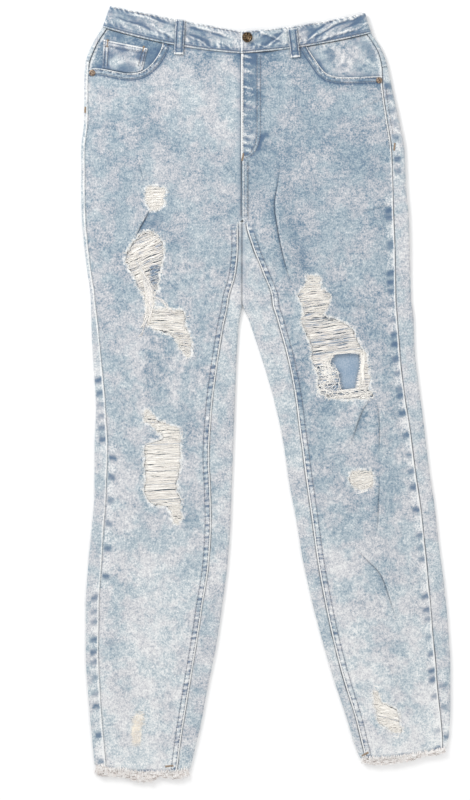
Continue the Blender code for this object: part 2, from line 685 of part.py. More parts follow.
def make_rips(fronts):
    """Cuts the rips through the fronts and bridges each with a ladder of bare weft threads."""
    for side_name, front in fronts.items():
        outlines = [rip_outline(rows) for owner, rows in RIPS.values() if owner == side_name]
        cut(front, "rips_" + side_name, outlines)
    for name, (owner, rows) in RIPS.items():
        probe = surface_of(fronts[owner])
        top, bottom = rows[0][0] - 1.0, rows[-1][0] + 1.0
        count = max(2, int((top - bottom + STRAND_PITCH - STRAND_WIDTH) / STRAND_PITCH))
        pitch = (top - bottom - STRAND_WIDTH) / (count - 1)
        heights = np.array([top - k * pitch - part for k in range(count) for part in (0, STRAND_WIDTH)])
        left, right = rip_edges(rows, heights)
        middle = (left + right) / 2
        columns = [left - STRIP_OUTSIDE, left - STRIP_INSIDE, middle, right + STRIP_INSIDE,
                   right + STRIP_OUTSIDE]
        keep = np.ones((len(heights) - 1, 4), bool)
        keep[1::2, 1:3] = False
        if name == "right_knee":
            hole_left, hole_right = rip_edges(KNEE_HOLE, heights)
            width = right - left
            hole_left = np.clip(hole_left, left + 0.2 * width, right - 0.45 * width)
            hole_right = np.clip(hole_right, left + 0.5 * width, right - 0.1 * width)
            roll = np.minimum(HOLE_ROLL, 0.08 * width)
            columns[2:3] = [hole_left - roll, hole_left, hole_right, hole_right + roll]
            keep = np.ones((len(heights) - 1, 7), bool)
            keep[1::2, 1] = False
            keep[1::2, 5] = False
            inside = (heights < KNEE_HOLE[0][0]) & (heights > KNEE_HOLE[-1][0])
            for r in range(len(heights) - 1):
                open_here = inside[r] or inside[r + 1]
                keep[r, 3] = not open_here and r % 2 == 0
                keep[r, 2] = open_here or r % 2 == 0
                keep[r, 4] = open_here or r % 2 == 0
        x = np.stack(columns, axis=1)
        plan = np.stack((x, np.broadcast_to(heights[:, None], x.shape)), axis=-1)
        sheet("weft_" + name, lay_on(probe, plan, -STRAND_DROP), STRAND_CLOTH, "weft", keep)


def flip_if_inward(piece):
    """Turns a ring's faces outward, judged by the strip on top of it."""
    top = max(piece.data.polygons, key=lambda p: p.center.z)
    if top.normal.z < 0:
        piece.data.flip_normals()


def make_hem_fringes():
    """A narrow ring below each hem with strands of frayed cloth hanging from it."""
    for name, tube, fray in (("left", LEFT, LEFT_FRAY), ("right", RIGHT, RIGHT_FRAY)):
        hem = tube.knots[0]
        width = float(tube.width(hem))
        flat = np.linspace(FOLD_DEPTH, width - FOLD_DEPTH, 2 * FRAY_STRANDS + 1)
        turn = np.linspace(0, math.pi, FRAY_TURNS + 2)[1:-1]
        across = np.concatenate((flat, width - FOLD_DEPTH * (1 - np.sin(turn)), flat[::-1],
                                 FOLD_DEPTH * (1 - np.sin(turn))))
        heights = np.concatenate((np.ones_like(flat), (1 + np.cos(turn)) / 2, np.zeros_like(flat),
                                  (1 - np.cos(turn)) / 2))
        total = len(across)
        table = np.array(fray, float)
        reach = np.interp(across / width, table[:, 0], table[:, 1])
        strands = np.zeros(total, bool)
        strands[0:2 * FRAY_STRANDS:2] = True
        back_start = len(flat) + len(turn)
        strands[back_start:back_start + 2 * FRAY_STRANDS:2] = True
        for c in np.nonzero(strands)[0]:
            reach[c] = reach[c + 1] = reach[c] * (0.86 + 0.14 * math.cos(2.4 * c))
        pull = np.zeros(total)
        ends = np.nonzero(strands)[0]
        half = (flat[1] - flat[0]) * FRAY_TAPER / 2
        way = np.where(ends < len(flat), 1.0, -1.0)
        pull[ends] += way * half
        pull[ends + 1] -= way * half
        x0, y0 = tube.plan(np.full(total, hem), across)
        x1, _ = tube.plan(np.full(total, hem), across + pull)
        droop = 0.4 + 0.2 * np.cos(1.7 * np.arange(total))
        z0 = LEG_HEIGHT * heights
        z1 = np.where(heights == 1.0, LEG_HEIGHT - FRAY_DROOP * droop, z0 + droop * (heights == 0.0))
        points = np.stack((
            np.stack((x0, y0 - SEAM / 2, z0), axis=-1),
            np.stack((x0, y0 - FRAY_STRIP, z0), axis=-1),
            np.stack((x1, y0 - reach, z1), axis=-1),
        ))
        keep = np.ones((2, total), bool)
        keep[1] = strands
        fringe = sheet("hem_fringe_" + name, points, FRAY_CLOTH, "weft", keep, ring=True)
        flip_if_inward(fringe)


def make_button(bands):
    """The waist button, whose shank stands in its buttonhole."""
    reach_x = math.cos(SLOT_TURN)
    reach_y = math.sin(SLOT_TURN)
    half = SLOT_WIDTH / 2
    corners = ((-half, -half), (SLOT_REACH, -half), (SLOT_REACH + half, 0), (SLOT_REACH, half),
               (-half, half))
    outline = [(BUTTON_AT[0] + a * reach_x - b * reach_y, BUTTON_AT[1] + a * reach_y + b * reach_x)
               for a, b in corners]
    cut(bands["right"], "buttonhole", [outline], low=BAND_FLOOR + BAND_HEIGHT + 0.1)
    base = BAND_FLOOR + BAND_HEIGHT + CLEAR
    cap = TAB_RAISE
    profile = ((0, cap + 2.2), (3.2, cap + 2.2), (4.0, cap + 1.9), (5.6, cap + 2.3),
               (BUTTON_RADIUS, cap + 1.2), (BUTTON_RADIUS - 0.4, cap), (SHANK_RADIUS, cap),
               (SHANK_RADIUS, 0), (0, 0))
    turned("button", profile, BUTTON_AT, base, "bronze", 16)


def make_rivets(fronts):
    """A copper rivet at the outer end of each front pocket opening."""
    profile = ((0, 1.5), (1.3, 1.5), (1.9, 0.9), (3.2, 1.1), (RIVET_RADIUS, 0.6), (RIVET_RADIUS, 0), (0, 0))
    for name, (side, x, y) in RIVETS.items():
        probe = surface_of(fronts[side])
        ring = [probe_height(probe, x + RIVET_RADIUS * math.cos(a), y + RIVET_RADIUS * math.sin(a))
                for a in np.linspace(0, 2 * math.pi, 9)]
        turned(name, profile, (x, y), max(ring) + CLEAR, "copper", 12)


for old in list(bpy.data.objects):
    bpy.data.objects.remove(old, do_unlink=True)
JEANS = collection("ripped_jeans")
CUTTERS = collection("cutters")
fronts = make_fronts()
make_backs()
bands = make_waistband()
make_pocket_facings(fronts)
make_zip()
make_belt_loops(fronts)
make_back_pockets()
make_rips(fronts)
make_hem_fringes()
make_button(bands)
make_rivets(fronts)
cut(fronts["left"], "pocket_opening_left", [LEFT_POCKET_CURVE])
cut(fronts["right"], "pocket_opening_right", [RIGHT_POCKET_CURVE])
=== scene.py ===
"""The looks of the ripped jeans: fine cloth, seams, stitches, bare threads and worn metal.

Lengths are in millimetres and meshes are scaled to metres as they are made. +X is to the right as the
jeans are seen from above, +Y runs from the hems to the waist and +Z is up, as in the solid model.
Each point of the cloth carries three amounts: dark (indigo that washing never wore off), white (worn
through to the undyed thread) and shade (a painted shadow line along a crisp fold, seam or edge).
"""

import math

import bpy
import numpy as np
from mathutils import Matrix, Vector
from mathutils.geometry import delaunay_2d_cdt


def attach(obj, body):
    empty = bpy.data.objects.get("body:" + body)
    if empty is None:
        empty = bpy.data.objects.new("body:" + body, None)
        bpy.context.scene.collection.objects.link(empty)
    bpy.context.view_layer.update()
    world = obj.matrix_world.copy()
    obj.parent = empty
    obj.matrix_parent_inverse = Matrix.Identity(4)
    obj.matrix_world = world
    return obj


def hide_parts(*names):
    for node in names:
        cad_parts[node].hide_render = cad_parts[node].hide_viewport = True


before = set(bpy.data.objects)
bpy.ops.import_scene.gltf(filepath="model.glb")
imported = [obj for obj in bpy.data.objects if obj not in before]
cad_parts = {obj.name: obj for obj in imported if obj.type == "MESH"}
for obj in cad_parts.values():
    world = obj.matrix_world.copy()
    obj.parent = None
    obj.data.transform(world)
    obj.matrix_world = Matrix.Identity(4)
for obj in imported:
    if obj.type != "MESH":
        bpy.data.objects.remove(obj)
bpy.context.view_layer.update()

MM = 0.001
SEAM = 0.3
DENIM = 1.2
BAND_CLOTH = 2.2
FACING_CLOTH = 1.0
LOOP_CLOTH = 1.5
BACK_POCKET_CLOTH = 1.0
FRAY_CLOTH = 0.5
CLEAR = 0.3
FOLD_DEPTH = 3.8
LEG_HEIGHT = 4.8
CROWN = 0.8
CROWN_REACH = 40.0
BAND_HEIGHT = 6.6
BAND_FLOOR = 1.7
BAND_FOLD = 4.5
PANEL_LIFT = 1.3
WAIST_LIFT = 0.7
CENTRE_X = -33.0
CROTCH_Y = 233.0
FLY_END_Y = 319.0
FLY_RAISE = 1.6
FLY_RAISE_Y = (262.0, 300.0)
FLY_RAISE_X = (10.0, -26.0)
FLY_UNDER = 4.2
FLY_OVER = 1.5
TAB_RAISE = 2.5
TAB_RAISE_X = (30.0, -8.0)
TAB_UNDER = 21.0
UNDERLAP_RISE = 4.0
YOKE_SEAM = 0.45
YOKE_AT_SIDE = 45.0
YOKE_AT_CENTRE = 80.0

# Sections from the waist seam down to the hem. edge is the outer edge, inner the inner edge, bow how
# far the middle sags towards the hem, and outseam and inseam how far the seams lie in from the edges.
LEFT_SECTIONS = (
    # edge_y, edge_x, inner_x, inner_y, bow, outseam, inseam
    (495, -221, -33, 459.5, 6.0, 5.2, 5.2),
    (470, -236, -33, 441.0, 4.0, 5.2, 5.2),
    (443, -245, -33, 418.0, 2.0, 5.2, 5.2),
    (411, -246, -33, 391.0, 0.5, 5.2, 5.2),
    (371, -246, -33, 357.0, 0.0, 5.2, 5.2),
    (330, -250, -33, 321.0, 0.0, 5.2, 5.2),
    (283, -250, -33, 276.0, 0.0, 5.2, 5.2),
    (236, -249, -33, 233.0, 0.0, 5.2, 5.2),
    (202, -246, -33, 199.0, 0.0, 5.2, 5.2),
    (168, -242, -33, 165.0, 0.0, 5.2, 8.2),
    (128, -237, -33, 125.0, 0.0, 5.9, 18.2),
    (87, -236, -38, 87.0, 0.0, 9.5, 20.7),
    (33, -233, -41, 33.0, 0.0, 11.7, 26.0),
    (-21, -230, -43, -21.0, 0.0, 13.3, 30.6),
    (-75, -232, -45, -75.0, 0.0, 18.0, 32.0),
    (-129, -232, -47, -128.0, 0.0, 16.0, 28.3),
    (-183, -236, -49, -180.0, 0.0, 16.5, 25.4),
    (-237, -241, -53, -233.0, 0.0, 18.4, 25.0),
    (-291, -244, -60, -287.0, 0.0, 18.3, 26.5),
    (-345, -244, -68, -340.0, 0.0, 17.6, 26.6),
    (-399, -241, -79, -394.0, 1.0, 16.8, 24.7),
    (-446, -237, -88, -442.0, 3.0, 16.0, 23.8),
    (-499, -232, -103, -505.5, 6.5, 15.9, 17.5),
)
RIGHT_SECTIONS = (
    # edge_y, edge_x, inner_x, inner_y, bow, outseam, inseam
    (487, 141, -33, 459.5, 4.0, 5.2, 5.2),
    (465, 155, -33, 441.0, 3.0, 5.2, 5.2),
    (443, 163, -33, 418.0, 1.5, 7.0, 5.2),
    (414, 169, -33, 391.0, 0.5, 12.0, 5.2),
    (373, 178, -33, 357.0, 0.0, 15.3, 5.2),
    (330, 186, -33, 321.0, 0.0, 17.0, 5.2),
    (283, 188, -33, 276.0, 0.0, 17.4, 5.2),
    (236, 192, -33, 233.0, 0.0, 20.0, 5.2),
    (202, 193, -33, 199.0, 0.0, 19.6, 14.0),
    (168, 194, -33, 165.0, 0.0, 19.8, 27.5),
    (129, 195, -33, 125.0, 0.0, 20.2, 40.6),
    (106, 198, -24, 101.0, 0.0, 21.5, 38.0),
    (57, 200, -6, 47.0, 0.0, 19.8, 34.5),
    (6, 206, 10, -7.0, 0.0, 20.2, 28.9),
    (-47, 213, 22, -61.0, 0.0, 18.9, 23.9),
    (-99, 219, 30, -115.0, 0.0, 18.2, 23.0),
    (-153, 227, 40, -169.0, 0.0, 18.4, 20.8),
    (-207, 233, 49, -223.0, 0.0, 18.6, 19.3),
    (-261, 240, 61, -277.0, 0.0, 20.5, 17.0),
    (-315, 245, 75, -331.0, 0.0, 20.9, 14.5),
    (-369, 248, 91, -385.0, 0.0, 19.0, 12.7),
    (-423, 248, 109, -439.0, 1.0, 14.0, 11.4),
    (-460, 246, 119, -473.0, 2.5, 8.5, 9.9),
    (-476, 243.5, 126, -490.0, 4.0, 6.0, 7.0),
)
LEFT_BAND_SECTIONS = (
    # edge_y, edge_x, inner_x, inner_y, bow, outseam, inseam
    (523.5, -211.0, -33, 489.0, 0.0, 0.0, 0.0),
    (495.3, -221.0, -33, 459.8, 6.0, 0.0, 0.0),
)
RIGHT_BAND_SECTIONS = (
    # edge_y, edge_x, inner_x, inner_y, bow, outseam, inseam
    (514.5, 133.0, -33, 489.0, 3.0, 0.0, 0.0),
    (487.3, 141.0, -33, 459.8, 4.0, 0.0, 0.0),
)

# The largest folds of the fronts, as in the solids.
FOLDS = (
    # start_x, start_y, end_x, end_y, sag, left_width, right_width, height
    (22, 306, 43, 128, -12, 9, 24, 1.7),
    (46, 190, 64, 150, 0, 8, 10, -0.8),
    (92, 128, 166, 114, 3, 11, 14, 1.2),
    (140, 6, 108, -76, -4, 16, 10, 1.4),
    (146, 6, 152, -92, -3, 10, 16, 1.3),
    (150, -118, 142, -196, -4, 12, 12, 1.2),
    (120, -206, 178, -318, 8, 14, 12, 1.4),
    (160, -344, 180, -410, 0, 10, 12, 1.1),
    (-176, 326, -160, 272, -3, 10, 14, 1.2),
    (-164, 96, -156, -14, 3, 12, 14, 1.2),
    (-70, 322, -38, 286, 0, 9, 12, 1.0),
    (-108, 76, -90, 40, 0, 10, 10, -0.7),
    (-120, -230, -96, -330, 5, 14, 14, 1.1),
    (-190, -250, -200, -360, 4, 14, 14, -0.7),
    (80, 330, 120, 250, 6, 18, 18, 0.9),
    (-120, 230, -90, 150, 6, 18, 16, 0.9),
)

# Crisp folds, from the top down. The cloth on the raised side (-1 towards smaller x) laps over the
# other, rises by the height and sinks back over the reach. shade is how dark its shadow line is.
CREASES = (
    # side, raised, height, reach, shade, points
    ("right", -1, 1.3, 12, 1.0, ((19, 318), (17.8, 303.6), (15.3, 284.3), (10.7, 261.1), (11.1, 246.8),
        (14.6, 226.1), (18.5, 202.9), (25, 175.8), (31.5, 155.1), (38, 142))),
    ("right", -1, 0.5, 8, 0.35, ((49, 180), (54, 170), (60, 162))),
    ("right", 1, 0.9, 13, 0.7, ((141, -6), (135, -13), (129, -21.7), (122.4, -39.3), (117.3, -55.5),
        (113.7, -68.6))),
    ("right", -1, 0.9, 12, 0.7, ((147.5, -1), (150.9, -20.3), (152.4, -37.8), (152.7, -55.4),
        (151.7, -87.6))),
    ("right", -1, 0.8, 12, 0.7, ((152, -100), (152.6, -118), (150.9, -150), (150.6, -170), (149.4,
        -182), (146, -195))),
    ("right", -1, 1.0, 14, 0.8, ((118, -205), (134, -222), (151.3, -238), (158.6, -252), (166, -275),
        (176, -307))),
    ("right", -1, 0.6, 14, 0.35, ((160, -346), (169, -374), (177, -398))),
    ("left", -1, 0.7, 10, 0.5, ((-175, 322), (-169, 303), (-164.5, 280))),
    ("left", 1, 0.9, 10, 1.0, ((-156, 252), (-163, 238), (-170, 226), (-178, 209))),
    ("left", -1, 0.5, 8, 0.35, ((-138, 251), (-139, 238), (-142, 222), (-145, 212))),
    ("left", -1, 0.5, 12, 0.16, ((-121, 452), (-108, 424), (-98, 396), (-92, 372))),
    ("left", 1, 0.5, 12, 0.14, ((-196, 424), (-178, 404), (-160, 390), (-140, 382))),
    ("left", 1, 0.5, 12, 0.14, ((-226, 330), (-200, 318), (-172, 312))),
    ("right", -1, 0.5, 12, 0.16, ((60, 416), (84, 396), (104, 372), (114, 344))),
    ("right", 1, 0.5, 12, 0.16, ((164, 404), (140, 390), (112, 384))),
    ("right", 1, 0.5, 12, 0.14, ((176, 262), (150, 250), (124, 246))),
    ("right", -1, 0.5, 12, 0.16, ((92, 128), (120, 119), (150, 115))),
    ("left", 1, 0.6, 12, 0.35, ((-66, 316), (-55, 306), (-39, 290))),
    ("left", 1, 0.6, 10, 0.45, ((-105, 69), (-99, 60), (-92.5, 46))),
    ("left", 1, 0.4, 10, 0.2, ((-160.5, 92), (-162, 40), (-160, -8))),
)

LEFT_POCKET_CURVE = (
    (-139, 488), (-140, 473), (-143, 463.5), (-151, 450), (-162, 439), (-172, 434),
    (-186, 432.5), (-201, 435), (-219, 439), (-232, 440.5), (-246, 438),
)
RIGHT_POCKET_CURVE = (
    (44, 488), (56, 465.5), (68, 448), (75, 438), (83, 431), (95, 428), (110, 427.5), (135, 428.5),
    (157, 429.5), (180, 430),
)
POCKETS = {"left": LEFT_POCKET_CURVE, "right": RIGHT_POCKET_CURVE}
POCKET_BAND = 8.5
POCKET_STITCHES = (1.6, 7.0)

# Rips, from the top down. Each row is a height and the hole's left and right edges there.
RIPS = {
    "left_hip": ("left", ((280, -161, -138), (272, -163.5, -137), (262.5, -163.5, -138.5),
        (256, -158.5, -139.5), (249, -155, -147))),
    "left_thigh": ("left", ((220, -164, -156), (214, -171, -146.5), (208.5, -176, -141),
        (195, -185, -139.5), (184, -191, -139.5), (171, -185.5, -142.5),
        (157, -178, -145), (144, -172, -147), (136, -167, -154),
        (126, -163, -153), (119, -162, -153))),
    "left_above_knee": ("left", ((115, -161, -113), (106, -162, -110), (95, -162.5, -109.5),
        (89, -157, -107.5), (84, -131, -106), (74, -122, -102.5),
        (63, -115, -101.5), (52, -109, -103))),
    "left_knee": ("left", ((-21, -163.5, -157), (-30, -165, -152), (-38, -164, -146.5),
        (-42.5, -155, -119.5), (-49, -148, -117.5), (-54, -139, -116.5),
        (-61.5, -138.5, -116), (-68, -165, -116), (-88, -164, -115.5),
        (-102, -163.5, -117), (-119.5, -164, -123), (-131.5, -164.5, -122),
        (-139.5, -161, -117.5), (-148, -154, -115.5), (-153, -129, -115),
        (-164, -127, -115.5), (-174, -125, -118))),
    "right_knee": ("right", ((160, 55, 71), (150.5, 54.5, 72), (141, 48, 76), (135.5, 43, 85.5),
        (127.5, 45, 86), (118, 48.5, 83), (110, 50, 76), (104, 47.5, 76),
        (99, 46.5, 104.5), (87, 52, 115.5), (77.5, 56, 121), (67, 58.5, 126),
        (58.5, 60, 133), (46.5, 61.5, 135.5), (31.5, 68, 137),
        (22, 69.5, 141), (14, 70, 138), (6, 72, 138), (1, 75, 143.5),
        (-5.5, 83, 142.5))),
    "right_shin": ("right", ((-103, 117, 139.5), (-108.5, 112.5, 145), (-121, 114, 145),
        (-127.5, 121, 139.5))),
    "right_ankle": ("right", ((-400, 144.5, 151), (-416, 145, 153), (-424.5, 146.5, 175),
        (-434, 148, 178), (-442, 152, 180), (-450, 163, 181.5),
        (-457, 169.5, 180))),
}
# The part of the knee rip that is torn right through.
KNEE_HOLE = (
    (54, 92, 126), (46.5, 87, 126), (38.5, 85.5, 126), (34.5, 95, 126), (30, 99, 125.5),
    (22, 99, 123), (14, 100.5, 121.5), (6, 102, 120.5),
)

# How far the frayed hems hang, across the leg from the outer edge (0) to the inner edge (1).
FRAYS = {
    "left": ((0, 16), (0.27, 11), (0.45, 14.5), (0.57, 17), (0.68, 8), (0.89, 12), (1, 10)),
    "right": ((0, 7.5), (0.27, 6.5), (0.46, 9.5), (0.59, 10.5), (0.73, 11.5), (1, 8)),
}

FRONT_LOOPS = {"left": ((-118.5, 458.0), (-116.0, 505.0)), "right": ((39.0, 454.0), (34.5, 493.0))}
BACK_LOOPS = {
    "left": ((-176.0, 476.0), (-171.0, 515.0)),
    "centre": ((CENTRE_X, 449.0), (CENTRE_X, 487.5)),
    "right": ((100.0, 467.0), (95.0, 506.0)),
}
LOOP_WIDTH = 13.0
FACINGS = {"left": (-129.0, 434.0), "right": (34.0, 428.0)}
COIN_DEPTH = 38
COIN_WIDTH = 58
COIN_POCKET = (
    # top_x, top_y, bottom_x, bottom_y
    (-219.5, 478.5, -222.0, 440.5),
    (-204.5, 475.5, -204.0, 436.7),
    (-189.5, 472.5, -188.0, 433.8),
    (-174.5, 469.5, -176.0, 433.9),
    (-160.0, 466.5, -167.0, 437.5),
)
# The back pockets: half their width at the top, how much narrower they end, the length of their sides
# and how far the point reaches below those.
POCKET_HALF, POCKET_TAPER, POCKET_SIDE, POCKET_POINT = 72, 5, 128, 28
BACK_POCKET_OFF_CENTRE = 109.0
BACK_POCKET_TOP_Y = 398.0
BACK_POCKET_TURN = 0.2
ZIP_Y = (455.0, 322.0)
ZIP_X = (-46.0, -19.0)
BUTTON_AT = (-26.0, 481.0)
BUTTON_RADIUS = 7.0
RIVETS = {"rivet_left": ("left", -235.0, 433.5), "rivet_right": ("right", 151.8, 423.5)}
RIVET_RADIUS = 4.3

PHOTO_WIDTH = 470
PHOTO_HEIGHT = 800
MM_PER_PIXEL = 1.35
CAMERA_HEIGHT = 4500.0
ORIGIN_PIXEL = (266.5, 394.5)


# Small numeric helpers.

def ease(low, high, value):
    """0 below low, 1 above high and a smooth rise between."""
    f = np.clip((value - low) / (high - low), 0.0, 1.0)
    return f * f * (3.0 - 2.0 * f)


def bump(value, width):
    """1 at 0 and a soft fall to nothing past about twice the width."""
    return np.exp(-(value / width) ** 2)


def smooth_table(knots, values, at):
    """A smooth curve through a table's rows that never swings past them."""
    steps = np.diff(values) / np.diff(knots)
    both = steps[:-1] + steps[1:]
    same_way = steps[:-1] * steps[1:] > 0.0
    middle = np.where(same_way, 2.0 * steps[:-1] * steps[1:] / np.where(same_way, both, 1.0), 0.0)
    slopes = np.concatenate((steps[:1], middle, steps[-1:]))
    i = np.clip(np.searchsorted(knots, at) - 1, 0, len(knots) - 2)
    width = knots[i + 1] - knots[i]
    f = np.clip((at - knots[i]) / width, 0.0, 1.0)
    return ((1 + 2 * f) * (1 - f) ** 2 * values[i] + f * (1 - f) ** 2 * width * slopes[i]
            + f * f * (3 - 2 * f) * values[i + 1] + f * f * (f - 1) * width * slopes[i + 1])


def noise(x, y, size, seed):
    """Smooth unevenness from -1 to 1, with features of about a given size."""
    table = np.random.default_rng(seed).uniform(-1, 1, (61, 61))
    u, v = np.asarray(x) / size + 900, np.asarray(y) / size + 900
    i, j = np.floor(u).astype(int), np.floor(v).astype(int)
    f, g = ease(0, 1, u - i), ease(0, 1, v - j)
    i0, i1, j0, j1 = i % 61, (i + 1) % 61, j % 61, (j + 1) % 61
    low = table[i0, j0] * (1 - f) + table[i1, j0] * f
    high = table[i0, j1] * (1 - f) + table[i1, j1] * f
    return low * (1 - g) + high * g


def beats(along, pitch, seed, crisp=2.0):
    """Uneven beats along a seam, from -1 (worn white) to 1 (dark), as gathered cloth wears."""
    rng = np.random.default_rng(seed)
    steps = pitch * rng.uniform(0.6, 1.45, 700)
    ends = np.cumsum(steps) - 700.0
    k = np.clip(np.searchsorted(ends, along), 0, 699)
    phase = 1 - (ends[k] - along) / steps[k]
    strength = rng.uniform(0.35, 1.0, 700)[k]
    return strength * np.tanh(crisp * np.sin(2 * math.pi * phase))


def resample(points, pitch):
    """Points a set distance apart along a line."""
    points = np.asarray(points, float)
    steps = np.linalg.norm(np.diff(points, axis=0), axis=1)
    far = np.concatenate(([0.0], np.cumsum(steps)))
    count = max(2, int(round(far[-1] / pitch)) + 1)
    at = np.linspace(0, far[-1], count)
    return np.stack([np.interp(at, far, points[:, k]) for k in range(points.shape[1])], axis=1)


def curve(points, pitch=2.0):
    """A smooth line through points, with its corners rounded."""
    points = np.asarray(points, float)
    for _ in range(3):
        a, b = points[:-1], points[1:]
        cut = np.empty((2 * len(a), points.shape[1]))
        cut[0::2], cut[1::2] = a * 0.75 + b * 0.25, a * 0.25 + b * 0.75
        points = np.concatenate((points[:1], cut, points[-1:]))
    return resample(points, pitch)


def off_line(line, x, y):
    """The distance from a line, positive on its left, and the share of its length, for many points."""
    best, sign, share = np.full(x.shape, 1e9), np.ones(x.shape), np.zeros(x.shape)
    count = len(line) - 1
    for k in range(count):
        (ax, ay), (bx, by) = line[k], line[k + 1]
        dx, dy = bx - ax, by - ay
        t = np.clip(((x - ax) * dx + (y - ay) * dy) / (dx * dx + dy * dy + 1e-12), 0, 1)
        gap = np.hypot(x - ax - t * dx, y - ay - t * dy)
        near = gap < best
        best = np.where(near, gap, best)
        side = np.where(dx * (y - ay) - dy * (x - ax) >= 0, 1.0, -1.0)
        sign = np.where(near, side, sign)
        share = np.where(near, (k + t) / count, share)
    return best * sign, share


def beside(line, distance):
    """A line moved sideways, to its left where the distance is positive."""
    line = np.asarray(line, float)
    run = np.gradient(line, axis=0)
    run /= np.maximum(np.linalg.norm(run, axis=1, keepdims=True), 1e-9)
    return line + np.stack((-run[:, 1], run[:, 0]), axis=1) * distance


def inside(outline, x, y):
    """Whether points lie inside a closed outline."""
    found = np.zeros(x.shape, bool)
    for (ax, ay), (bx, by) in zip(outline, np.roll(outline, -1, axis=0)):
        crosses = (ay > y) != (by > y)
        at = ax + (y - ay) * (bx - ax) / np.where(by == ay, 1e-12, by - ay)
        found ^= crosses & (x < at)
    return found


# The shape of the jeans, as in the solids.

class Tube:
    """A flattened tube of cloth: one half of the jeans, or of the waistband."""

    def __init__(self, sections, outward):
        table = np.array(sections[::-1] if sections[0][0] > sections[-1][0] else sections, float)
        self.outward = outward
        self.knots = table[:, 0]
        self.columns = table[:, 1:].T.copy()
        self.columns[1] += outward * SEAM / 2

    def section(self, row):
        """edge_x, inner_x, inner_y, bow, outseam and inseam of the section at this edge height."""
        row = np.asarray(row, float)
        return [smooth_table(self.knots, column, row) for column in self.columns]

    def width(self, row):
        edge_x, inner_x, inner_y = self.section(row)[:3]
        return np.hypot(inner_x - edge_x, inner_y - row)

    def plan(self, row, across):
        """Where the cloth lies, seen from above, at a distance in from the outer edge."""
        edge_x, inner_x, inner_y, bow = self.section(row)[:4]
        f = across / np.hypot(inner_x - edge_x, inner_y - row)
        return edge_x + f * (inner_x - edge_x), row + f * (inner_y - row) - bow * 4 * f * (1 - f)

    def locate(self, x, y):
        """The row and the distance in from the outer edge of a place seen from above."""
        row = np.array(y, float)
        for _ in range(7):
            edge_x, inner_x, inner_y, bow = self.section(row)[:4]
            f = (x - edge_x) / (inner_x - edge_x)
            row = y - f * (inner_y - row) + bow * 4 * f * (1 - f)
        edge_x, inner_x, inner_y = self.section(row)[:3]
        return row, (x - edge_x) / (inner_x - edge_x) * np.hypot(inner_x - edge_x, inner_y - row)


SIDES = {"left": Tube(LEFT_SECTIONS, -1), "right": Tube(RIGHT_SECTIONS, 1)}
BANDS = {"left": Tube(LEFT_BAND_SECTIONS, -1), "right": Tube(RIGHT_BAND_SECTIONS, 1)}
CREASE_LINES = [(side, raised, height, reach, shade, curve(points))
                for side, raised, height, reach, shade, points in CREASES]
POCKET_LINES = {side: curve(points, 1.5) for side, points in POCKETS.items()}


def folds_at(x, y):
    """The height that the largest folds add at a place."""
    total = np.zeros(np.broadcast(x, y).shape)
    for start_x, start_y, end_x, end_y, sag, left_width, right_width, height in FOLDS:
        run_x, run_y = end_x - start_x, end_y - start_y
        length = math.hypot(run_x, run_y)
        along = ((x - start_x) * run_x + (y - start_y) * run_y) / length ** 2
        off = ((x - start_x) * -run_y + (y - start_y) * run_x) / length
        along = np.clip(along, 0.0, 1.0)
        off = off - sag * 4 * along * (1 - along)
        width = np.where(off > 0, right_width, left_width)
        total += height * np.sin(math.pi * along) ** 1.2 * ease(1.0, 0.0, np.abs(off) / width)
    return total


def ripples_at(x, y):
    """Slight unevenness of washed cloth, mostly lengthwise."""
    return (0.45 * noise(x, y * 0.4, 34, 11) + 0.22 * noise(x, y * 0.6, 15, 12)
            + 0.10 * noise(x, y * 0.8, 7, 13))


def floor_height(inner_y):
    """The underside: on the floor along the legs, lifted by the back pockets above them."""
    return PANEL_LIFT * ease(150, 205, inner_y) + WAIST_LIFT * ease(415, 450, inner_y)


def top_height(tube, row, across):
    """The upper surface of a half at a distance in from its outer edge."""
    inner_y = tube.section(row)[2]
    x, y = tube.plan(row, across)
    outer = ease(FOLD_DEPTH, FOLD_DEPTH + CROWN_REACH, across)
    inner = ease(FOLD_DEPTH, FOLD_DEPTH + CROWN_REACH, tube.width(row) - across)
    cover = outer * (inner + (1 - inner) * ease(CROTCH_Y, CROTCH_Y + 52, inner_y))
    small = ripples_at(x, y) * (0.25 + 0.75 * cover)
    return floor_height(inner_y) + LEG_HEIGHT + cover * (CROWN + folds_at(x, y)) + small


class WearAndShade:
    """What making and washing have done to some points of the cloth, and the shade painted on them as shadow
    lines.
    """

    def __init__(self, shape):
        self.dark, self.fade, self.white, self.shade, self.lift = (np.zeros(shape) for _ in range(5))

    def rope(self, beat, amount, height=0.3):
        """Adds gathered cloth: dark where the beat is high and sunk, white where it is low."""
        self.dark += amount * np.clip(beat, 0, 1)
        self.white += amount * 0.8 * np.clip(-beat, 0, 1)
        self.lift -= amount * height * beat

    def lines(self, off, *rows):
        """Adds soft lines. Each row is what it adds to, its amount, its place in off and its width."""
        for what, amount, place, width in rows:
            setattr(self, what, getattr(self, what) + amount * bump(off - place, width))

    def fields(self, cream=None):
        """What the denim's material reads. cream is where undyed thread shows through."""
        made = {name: np.clip(getattr(self, name), 0, 1) for name in ("dark", "white", "shade")}
        made["fade"] = np.clip(self.fade, -1, 1)
        made["cream"] = 0 * self.fade if cream is None else cream
        return made


# How pale each leg is from the waist down to the hem, before its patches.
PALENESS = {
    "left": ((480, -0.2), (400, -0.2), (330, -0.26), (200, -0.26), (60, -0.2), (-150, -0.02), (-300, 0.1),
        (-500, 0.38)),
    "right": ((480, -0.3), (330, -0.42), (200, -0.38), (60, -0.3), (-150, -0.12), (-300, 0.08), (-490,
        0.4)),
}
